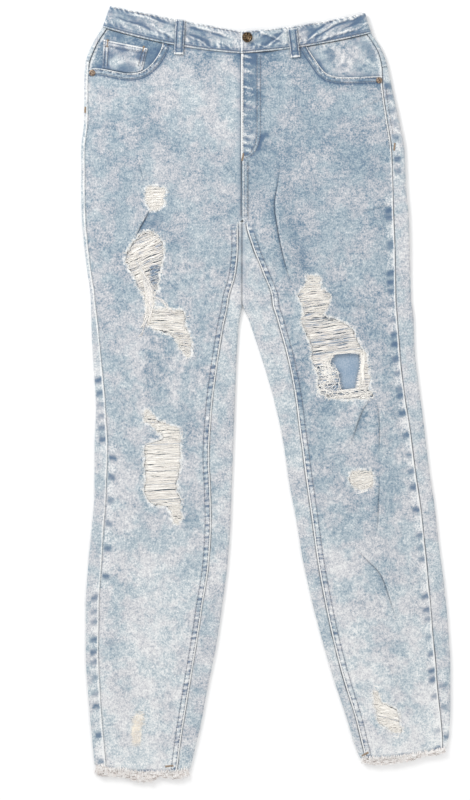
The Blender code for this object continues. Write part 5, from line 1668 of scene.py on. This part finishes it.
# Long strands across the thigh.
STRANDS = (
    # spread, threads, points
    (3.4, 17, ((-177, 184), (-172, 172), (-165, 158), (-161, 142), (-156, 126), (-157, 112), (-162,
        98), (-171, 78))),
    (5.0, 17, ((-166, 162), (-161, 148), (-158, 130), (-158, 114), (-162, 100), (-166, 92))),
    (3.4, 9, ((-163, 158), (-158, 150), (-154, 142), (-152, 132))),
    (2.6, 8, ((-152, 132), (-146, 130), (-140, 126), (-132, 116), (-124, 108))),
)


def make_tangles():
    """Loose threads: a tangle beside the knee hole, rolled edges round it and a few long strands."""
    rng = np.random.default_rng(140)
    share = np.linspace(0, 1, 20)
    paths, tints = [], []
    for _ in range(54):
        at = (rng.uniform(72, 90), rng.uniform(1, 38))
        size, turns, start = rng.uniform(3.0, 8.0), rng.uniform(0.3, 1.0), rng.uniform(0, 2 * math.pi)
        angle = start + turns * 2 * math.pi * share
        radius = size * (1 + 0.35 * np.sin(3 * angle + start))
        x = at[0] + radius * np.cos(angle) + 6 * (share - 0.5) * rng.uniform(-1, 1)
        y = at[1] + 0.8 * radius * np.sin(angle) + 6 * (share - 0.5) * rng.uniform(-1, 1)
        paths.append(np.stack((x, y), axis=1))
        tints.append(rng.choice((0.0, 0.1, 0.6)))
    rim = np.array([(left, y) for y, left, _ in KNEE_HOLE] + [(right, y) for y, _, right in KNEE_HOLE[::-1]])
    rim = curve(np.concatenate((rim, rim[:1])), 1.0)
    for _ in range(22):
        first, count = rng.integers(0, len(rim)), rng.integers(12, 30)
        piece = rim[(first + np.arange(count)) % len(rim)]
        piece = beside(piece, rng.uniform(-4.4, -0.4)) + rng.normal(0, 0.25, piece.shape)
        x, y = piece.T
        piece = piece + 1.3 * np.stack((noise(x, y, 5, first), noise(y, x, 5, first)), axis=1)
        paths.append(pick(piece, np.linspace(0, len(piece) - 1, 20)))
        tints.append(rng.choice((0.0, 0.1, 0.4)))
    for _ in range(16):
        y = np.linspace(rng.uniform(46, 60), rng.uniform(14, 26), 20)
        x = 130 + rng.uniform(-2.6, 2.6) + 1.2 * np.sin(y * 0.12 + rng.uniform(0, 1))
        x = x + 0.4 * rng.normal(size=20)
        paths.append(np.stack((x, y), axis=1))
        tints.append(rng.choice((0.0, 0.1)))
    for _ in range(46):
        x0, y0 = 84 + 58 * rng.uniform(0, 1) + rng.uniform(-2, 2), rng.uniform(-6, 5)
        angle = rng.uniform(-0.5, 0.5)
        run = rng.uniform(5, 13) * (share - 0.5)
        wave = rng.uniform(0.5, 2.5) * np.sin(share * math.pi * rng.uniform(1, 2))
        paths.append(np.stack((x0 + run * math.cos(angle), y0 + run * math.sin(angle) + wave), axis=1))
        tints.append(rng.choice((0.0, 0.2, 0.6)))
    paths = np.array(paths)
    each = np.arange(len(paths))[:, None]
    z = (surface("right", paths[..., 0], paths[..., 1]) + 0.2 + 0.2 * np.sin(share * 9 + each)
         + np.linspace(-0.6, 0.8, len(paths))[:, None] * 0.5)
    threads("jeans_tangle_knee", raised(paths, z), 0.4, WEFT, tint=tints)
    paths, tints, lifts = [], [], []
    for spread, count, points in STRANDS:
        line = curve(points, 1.0)
        line = pick(line, np.linspace(0, len(line) - 1, 20))
        for _ in range(count):
            first = rng.uniform(0.0, 0.5)
            at = np.clip(np.linspace(first, first + rng.uniform(0.35, 0.9), 20), 0, 1) * 19
            off = spread * rng.uniform(-1, 1) * (0.5 + 0.5 * np.sin(np.pi * (0.1 + 0.8 * share)))
            off = off + rng.uniform(0.6, 1.6) * np.sin(share * rng.uniform(6, 20) + rng.uniform(0, 6))
            path = pick(line, at)
            path[:, 0] += off
            path[:, 1] += rng.uniform(-3, 3)
            paths.append(path)
            lifts.append(0.25 + rng.uniform(0, 0.5))
            tints.append(rng.choice((0.1, 0.6, 1.0, 1.4)))
    paths = np.array(paths)
    z = surface("left", paths[..., 0], paths[..., 1]) + np.array(lifts)[:, None]
    threads("jeans_strands_thigh", raised(paths, z), 0.36, WEFT, tint=tints)


def hair(at_x, at_y, run, angle, bend, share):
    """A short thread: run is how far along its direction each point lies, and bend how far its end curls."""
    return np.stack((at_x + run * math.cos(angle) - bend * share ** 2 * math.sin(angle),
                     at_y + run * math.sin(angle) + bend * share ** 2 * math.cos(angle)), axis=1)


def make_fuzz(side):
    """Short hairs of broken thread that stand off the edges of the rips."""
    rng = np.random.default_rng(150 if side == "left" else 151)
    share = np.linspace(0, 1, 4)
    paths, tints = [], []
    own = [name for name in RIPS if RIPS[name][0] == side]
    for outline in (RIP_OUTLINES[name] for name in own):
        ring = np.concatenate((outline[-1:], outline, outline[:1]))
        normal = (beside(ring, 1.0) - ring)[1:-1]
        for _ in range(int(len(outline) * 1.4)):
            k = rng.integers(0, len(outline))
            start = outline[k] + normal[k] * rng.uniform(-1.6, 1.6)
            angle = math.atan2(normal[k][1], normal[k][0]) + rng.normal(0, 0.8)
            angle += math.pi * (rng.random() < 0.6)
            if abs(normal[k][1]) < 0.6:
                angle = rng.normal(0, 0.35) + math.pi * (rng.random() < 0.5)
            paths.append(hair(*start, rng.uniform(1.4, 5.0) * share, angle, rng.uniform(-1.0, 1.0), share))
            tints.append(rng.choice((0.0, 0.15, 0.5)))
    for name in own:
        rows = RIPS[name][1]
        table = np.array(rows, float)
        area = (table[:, 2] - table[:, 1]).mean() * (rows[0][0] - rows[-1][0])
        for _ in range(int(area * (0.11 if name in ("left_knee", "right_knee") else 0.16))):
            at_y = rng.uniform(rows[-1][0], rows[0][0])
            left, right = rip_edges(rows, at_y)
            at_x = rng.uniform(left - 1, right + 1)
            if (name == "right_knee" and KNEE_HOLE[-1][0] - 2 < at_y < KNEE_HOLE[0][0] + 1
                    and at_x < rip_edges(KNEE_HOLE, at_y)[1] + 4):
                continue
            angle = math.atan(RIP_LOOKS[name][0]) + rng.normal(0, 0.28 if rng.random() < 0.75 else 0.9)
            run = rng.uniform(2.0, 9.0) * (share - 0.5)
            paths.append(hair(at_x, at_y, run, angle, rng.uniform(-1.6, 1.6), share))
            tints.append(rng.choice((0.0, 0.1, 0.4, 1.0), p=(0.5, 0.25, 0.15, 0.1)))
    for at_x, at_y, half_width, half_height, _ in CREAM_SPOTS if side == "left" else ():
        for _ in range(int(half_height * 9)):
            x0, y0 = at_x + half_width * rng.uniform(-1, 0.9), at_y + half_height * rng.uniform(-1, 1)
            run = rng.uniform(1.5, 6.0) * (share - 0.5)
            paths.append(hair(x0, y0, run, 0.0, rng.uniform(-1.0, 1.0), share))
            tints.append(rng.choice((0.0, 0.4, 0.9)))
    paths = np.array(paths)
    z = bare_height(side, paths[..., 0], paths[..., 1]) + 0.3
    z = z + rng.uniform(-0.2, 0.7, (len(paths), 1)) * share
    radius = rng.uniform(0.16, 0.3, len(paths))
    threads("jeans_fuzz_" + side, raised(paths, z), radius, WEFT, tint=tints)


FRINGE_COLUMNS = 420
FRINGE_ROWS = 9


def make_fringe(side):
    """The frayed hem all round a leg: matted yarn below the cloth with loose ends hanging out of it."""
    tube = SIDES[side]
    hem = tube.knots[0]
    rng = np.random.default_rng(160 if side == "left" else 161)
    width = float(tube.width(hem))
    table = np.array(FRAYS[side], float)

    def hem_place(girth):
        """A place on the hem's ring, from 0 to 1 in front and from 1 to 2 behind, and how far it frays."""
        f = np.where(girth <= 1, girth, 2 - girth)
        across = FOLD_DEPTH * 0.6 + f * (width - FOLD_DEPTH * 1.2)
        x, y = tube.plan(np.full(np.shape(across), hem), across)
        edge = np.minimum(f, 1 - f) * width
        half = LEG_HEIGHT / 2 * np.sqrt(1 - np.clip(1 - edge / FOLD_DEPTH, 0, 1) ** 2)
        z = LEG_HEIGHT / 2 + np.where(girth <= 1, 1, -1) * np.maximum(half - 0.25, 0.2)
        return x, y, z, np.interp(across / width, table[:, 0], table[:, 1])

    def places(low, high, count):
        """That many places on the ring, drawn at once and given one by one."""
        for girth in rng.uniform(low, high, count):
            yield [float(value[0]) for value in hem_place(np.array([girth]))]

    girth = np.linspace(0, 2, FRINGE_COLUMNS, endpoint=False)
    share = np.linspace(0, 1, FRINGE_ROWS)[:, None]
    x, y, z, reach = hem_place(girth[None, :] + 0 * share)
    ragged = noise(girth * 260, girth * 0, 6, 162) + 0.5 * rng.uniform(-1, 1, FRINGE_COLUMNS)
    reach = reach * (0.8 + 0.2 * ragged[None, :])
    y = y + 0.8 - (reach + 0.8) * share
    z = np.clip(z + 0.35 * noise(x, y, 3.0, 163) * np.sign(z - LEG_HEIGHT / 2), 0.35, None)
    points = np.stack((x, y, z), axis=-1).reshape(-1, 3)
    faces = grid_faces(FRINGE_ROWS, FRINGE_COLUMNS, ring=True)
    top = np.argmax(points[faces[:, 0]][:, 2])
    faces = face_up(points, faces, judged=faces[top:top + 1])
    tint = 0.35 + 1.0 * noise(x, y * 0.4, 2.4, 164) + 0.8 * ease(0.25, 0.0, share)
    piece = mesh_object("jeans_fray_" + side, points, faces, [FRAY], {"tint": tint})
    thicken(piece, FRAY_CLOTH)
    finish_piece(piece, "hem_fringe_" + side)

    share = np.linspace(0, 1, 5)
    paths, tints, tufts = [], [], []
    for x0, y0, z0, hang in places(0, 2, 620):
        hang = hang * rng.uniform(0.5, 1.0)
        x = x0 + rng.normal(0, 0.22) * hang * share + rng.uniform(-0.9, 0.9) * np.sin(share * math.pi)
        out = 1.0 if z0 > LEG_HEIGHT / 2 else -0.4
        z = z0 + out * (0.35 + rng.uniform(-0.2, 0.5)) - 0.7 * share * (z0 - 1.6) / LEG_HEIGHT
        paths.append(np.stack((x, y0 - 0.2 - hang * share, np.clip(z, 0.35, None)), axis=1))
        tints.append(rng.choice((0.0, 0.3, 1.0, 1.7), p=(0.35, 0.3, 0.2, 0.15)))
    for x0, y0, z0, hang in places(0.02, 0.98, 260):
        down = rng.uniform(0.1, 0.92) * hang
        x = x0 + rng.uniform(2.5, 9.0) * (share - 0.5)
        y = y0 - down + rng.uniform(-1.2, 1.2) * np.sin(share * math.pi * rng.uniform(1, 2.5))
        paths.append(np.stack((x, y, z0 + 0.55 + rng.uniform(0, 0.5) + 0 * share), axis=1))
        tints.append(rng.choice((0.0, 0.3, 1.0, 1.9), p=(0.35, 0.25, 0.2, 0.2)))
    for x0, y0, _, _ in places(0.01, 0.99, 230):
        climb = rng.uniform(0.5, 3.2) + 2.4 * max(0.0, float(noise(x0, 0.0, 11, 165)))
        x = x0 + rng.uniform(-2.2, 2.2) * share + 0.6 * np.sin(share * rng.uniform(2, 7))
        y = y0 + climb - share * (climb + rng.uniform(1.0, 4.0))
        tufts.append(np.stack((x, y, np.maximum(y, y0 + 0.6), 0.25 + rng.uniform(0, 0.4) + 0 * x), axis=1))
        tints.append(rng.choice((0.0, 0.3, 0.8), p=(0.5, 0.3, 0.2)))
    tufts = np.array(tufts)
    level = surface(side, tufts[..., 0], tufts[..., 2]) + tufts[..., 3]
    paths = np.concatenate((np.array(paths), raised(tufts[..., :2], level)))
    threads("jeans_fray_ends_" + side, paths, rng.uniform(0.22, 0.42, len(paths)), FRAY, tint=tints)


STITCH_LENGTH = 2.9
STITCH_GAP = 0.6
STITCH_RADIUS = 0.34
STITCHES = {"paths": [], "tints": []}


def sew(side, line, tint, height_of=None):
    """Adds a row of stitches along a line seen from above, on the cloth's own surface."""
    line = resample(line, 0.5)
    step, reach = int(round((STITCH_LENGTH + STITCH_GAP) / 0.5)), int(round(STITCH_LENGTH / 0.5))
    rng = np.random.default_rng(len(line) + 3)
    starts = np.arange(0, len(line) - reach, step)
    if len(starts) == 0:
        return
    at = (starts[:, None] + np.linspace(0, reach, 5)[None, :]).round().astype(int)
    x, y = line[at][..., 0], line[at][..., 1]
    z = surface(side, x, y) if height_of is None else height_of(x, y)
    z = z + np.array((-0.35, 0.12, 0.22, 0.12, -0.35))
    STITCHES["paths"] += list(np.stack((x, y, z), axis=-1))
    STITCHES["tints"] += list(tint + rng.uniform(-0.3, 0.35, len(starts)))


def seam_line(side, low, high, from_outseam=None, from_inseam=None):
    """A line at a distance from the side seam or the inside leg seam, between two rows."""
    tube = SIDES[side]
    rows = np.arange(low, high, 2.0)
    _, _, _, _, outseam, inseam = tube.section(rows)
    across = outseam + from_outseam if from_inseam is None else tube.width(rows) - inseam - from_inseam
    return np.stack(tube.plan(rows, across), axis=1)


def make_stitches():
    """All the topstitching, as one mesh of threads."""
    for side, tube in SIDES.items():
        left = side == "left"
        for off, tint in ((2.4, 0.8), (8.4, 1.0)):
            sew(side, seam_line(side, tube.knots[0] + 2, 228 if left else 224, from_inseam=off), tint)
        for off in POCKET_STITCHES:
            line = beside(POCKET_LINES[side], pocket_side(side) * off)[3:]
            row, across = tube.locate(line[:, 0], line[:, 1])
            sew(side, line[across > tube.section(row)[4] + 1.5], 0.7)
        band = BANDS[side]
        for share in (0.075, 0.94):
            row = band.knots[0] + (band.knots[-1] - band.knots[0]) * share
            across = np.linspace(BAND_FOLD + 1, float(band.width(row)) + (-1 if left else 1), 120)
            line = np.stack(band.plan(np.full(120, row), across), axis=1)
            sew(side, line, 0.6, lambda x, y: band_height(side, x))
    sew("right", seam_line("right", 352, 418, from_outseam=-4.0), 0.9)
    sew("right", seam_line("right", 332, 418, from_outseam=3.0), 1.0)
    for off in (0.0, 4.2):
        sew("right", fly_stitch(off), 0.9)
    for off in (4.2, 8.4):
        x = CENTRE_X - FLY_OVER + off
        sew("right", np.stack((np.full(40, x), np.linspace(FLY_END_Y - 6, CROTCH_Y + 4, 40)), axis=1), 1.2)
    sew("right", np.stack((np.full(30, CENTRE_X + 1.0), np.linspace(456, FLY_END_Y + 4, 30)), axis=1), 0.3)
    edges = np.array(COIN_POCKET, float)
    lines = [edges[:, :2] + (edges[:, 2:] - edges[:, :2]) * down / COIN_DEPTH for down in (2.6, 6.6)]
    for k, off in ((0, 2.4), (0, 7.0), (-1, -2.4), (-1, -7.0)):
        lines.append(np.array(((edges[k, 0] + off, edges[k, 1] - 1), (edges[k, 2] + off, edges[k, 3] + 2))))
    for line in lines:
        sew("left", line, 0.9, lambda x, y: bare_height("left", x, y) + 0.25)
    for side, (low, high) in FRONT_LOOPS.items():
        low, high, start = np.array(low, float), np.array(high, float), loop_start(side)
        length = np.linalg.norm(high - low)
        run = (high - low) / length

        def loop_top(x, y):
            share = ((x - low[0]) * run[0] + (y - low[1]) * run[1]) / length
            return loop_arch(start, share) + LOOP_CLOTH + 0.1
        for off in (-4.1, 4.1):
            across = np.array((-run[1], run[0])) * off
            sew(side, np.array((low + across + run, high + across - run)), 0.8, loop_top)
    threads("jeans_topstitch", np.array(STITCHES["paths"]), STITCH_RADIUS, STITCH,
            tint=np.clip(STITCHES["tints"], 0, 2), taper=0.7)


def band_height(side, x):
    """The top of the waistband's cloth at a distance along it."""
    z = BAND_FLOOR + BAND_HEIGHT + 0 * np.asarray(x, float)
    if side == "right":
        z = z + TAB_RAISE * ease(*TAB_RAISE_X, x)
    return z - 0.15


def pocket_side(side):
    """Which way a pocket's own cloth lies from its opening's line, as beside counts it."""
    line = POCKET_LINES[side]
    middle = len(line) // 2
    trial = beside(line, 5.0)[middle]
    return -1.0 if trial[1] > line[middle][1] else 1.0


TACKS = (
    # side, x, y, half_length, turn_degrees
    ("right", -32.0, 320.0, 5.0, 80),
    ("right", 172.5, 334.0, 5.0, 84),
    ("left", -244.5, 384.0, 4.0, 88),
    ("left", -214.5, 473.5, 5.0, 85),
    ("left", -166.0, 466.0, 4.0, 80),
    ("left", -131.0, -501.0, 5.5, 6),
    ("right", 133.0, -485.0, 5.0, 30),
)


def make_tacks():
    """Bartacks: short bars of close zigzag stitches where seams take strain."""
    paths, tints = [], []
    ends = np.linspace(-1.3, 1.3, 4)
    for side, at_x, at_y, half, turn in TACKS:
        run_x, run_y = math.cos(math.radians(turn)), math.sin(math.radians(turn))
        for k in np.arange(-half, half, 0.45):
            x, y = at_x + run_x * k - run_y * ends, at_y + run_y * k + run_x * ends
            z = surface(side, x, y) + np.array((-0.2, 0.45, 0.45, -0.2))
            paths.append(np.stack((x, y, z), axis=1))
            tints.append(0.5 + 0.4 * math.sin(k * 7))
    threads("jeans_bartacks", np.array(paths), 0.3, TACK, tint=tints, taper=0.8)


def lathe(name, profile, at, base, material_, node, tilt=(0.0, 0.0), steps=64):
    """A turned piece from its profile of radius and height, top to bottom."""
    profile = np.array(profile, float)
    angle = np.linspace(0, 2 * math.pi, steps, endpoint=False)
    x = profile[:, :1] * np.cos(angle)
    y = profile[:, :1] * np.sin(angle)
    z = profile[:, 1:] + 0 * angle + x * tilt[0] + y * tilt[1]
    points = np.stack((x + at[0], y + at[1], z + base), axis=-1).reshape(-1, 3)
    piece = mesh_object(name, points, grid_faces(len(profile), steps, ring=True), [material_])
    piece.data.set_sharp_from_angle(angle=math.radians(55))
    weld = piece.modifiers.new("weld", "WELD")
    weld.merge_threshold = 0.00001
    finish_piece(piece, node)


def make_metal():
    """The waist button and the two rivets."""
    cap = TAB_RAISE + 0.2
    profile = [(0.001, cap + 1.5), (2.6, cap + 1.5), (3.0, cap + 1.75), (3.5, cap + 1.75), (3.9, cap + 1.5),
               (4.7, cap + 1.5), (5.3, cap + 1.9), (6.1, cap + 2.1), (6.7, cap + 1.8),
               (BUTTON_RADIUS, cap + 1.1),
               (6.8, cap + 0.5), (6.2, cap + 0.2), (2.2, cap), (1.9, cap - 0.6), (1.9, 0.0), (0.001, 0.0)]
    base = BAND_FLOOR + BAND_HEIGHT + CLEAR
    lathe("jeans_button", profile, BUTTON_AT, base, BRONZE, "button", (0.05, -0.06))
    profile = [(0.001, 1.5), (1.0, 1.5), (1.5, 1.25), (1.9, 0.85), (2.6, 0.9), (3.4, 1.0), (4.0, 0.8),
               (RIVET_RADIUS, 0.35), (RIVET_RADIUS, 0.0), (0.001, 0.0)]
    for name, (side, x, y) in RIVETS.items():
        ring = np.linspace(0, 2 * math.pi, 9)
        base = float(surface(side, x + 3 * np.cos(ring), y + 3 * np.sin(ring)).max()) - 0.1
        lathe("jeans_" + name, profile, (x, y), base, COPPER, name, steps=40)


# The studio.

def make_studio():
    """A pale floor, a broad soft light from the upper left and a camera straight above."""
    scene = bpy.context.scene
    n = Nodes("floor")
    n.look(srgb(247, 247, 247), Roughness=0.9)
    half = 4.0
    mesh = bpy.data.meshes.new("floor")
    corners = [(-half, -half, 0), (half, -half, 0), (half, half, 0), (-half, half, 0)]
    mesh.from_pydata(corners, [], [(0, 1, 2, 3)])
    mesh.materials.append(n.material)
    floor = bpy.data.objects.new("floor", mesh)
    floor.location.z = -0.0003
    scene.collection.objects.link(floor)
    world = bpy.data.worlds.new("studio")
    world.use_nodes = True
    world.node_tree.nodes["Background"].inputs["Color"].default_value = (1.0, 1.0, 1.0, 1.0)
    world.node_tree.nodes["Background"].inputs["Strength"].default_value = 0.8
    scene.world = world
    for name, place, size, power in (("key", (-1.5, 1.7, 1.5), 1.1, 38.0),
                                     ("fill", (1.6, -1.0, 2.2), 2.0, 15.0)):
        lamp = bpy.data.lights.new(name, "AREA")
        lamp.energy = power
        lamp.size = size
        light = bpy.data.objects.new(name, lamp)
        light.location = place
        light.rotation_euler = (-Vector(place)).to_track_quat("-Z", "Y").to_euler()
        scene.collection.objects.link(light)
    scene.view_settings.view_transform = "Standard"
    lens = bpy.data.cameras.new("camera")
    lens.type = "PERSP"
    lens.sensor_width = 36.0
    lens.lens = 36.0 * CAMERA_HEIGHT / (PHOTO_HEIGHT * MM_PER_PIXEL)
    lens.clip_end = 100.0
    camera = bpy.data.objects.new("camera", lens)
    camera.location = ((PHOTO_WIDTH / 2 - ORIGIN_PIXEL[0]) * MM_PER_PIXEL * MM,
                       (ORIGIN_PIXEL[1] - PHOTO_HEIGHT / 2) * MM_PER_PIXEL * MM, CAMERA_HEIGHT * MM)
    scene.collection.objects.link(camera)
    scene.camera = camera


make_studio()
for half_name in SIDES:
    make_back(half_name)
    make_yoke(half_name)
    make_front(half_name)
    make_band(half_name)
    make_fringe(half_name)
    make_fuzz(half_name)
make_facings()
make_coin_pocket()
make_loops()
make_back_pockets()
make_zip()
for rip_name in RIPS:
    make_weft(rip_name)
make_tangles()
make_stitches()
make_tacks()
make_metal()
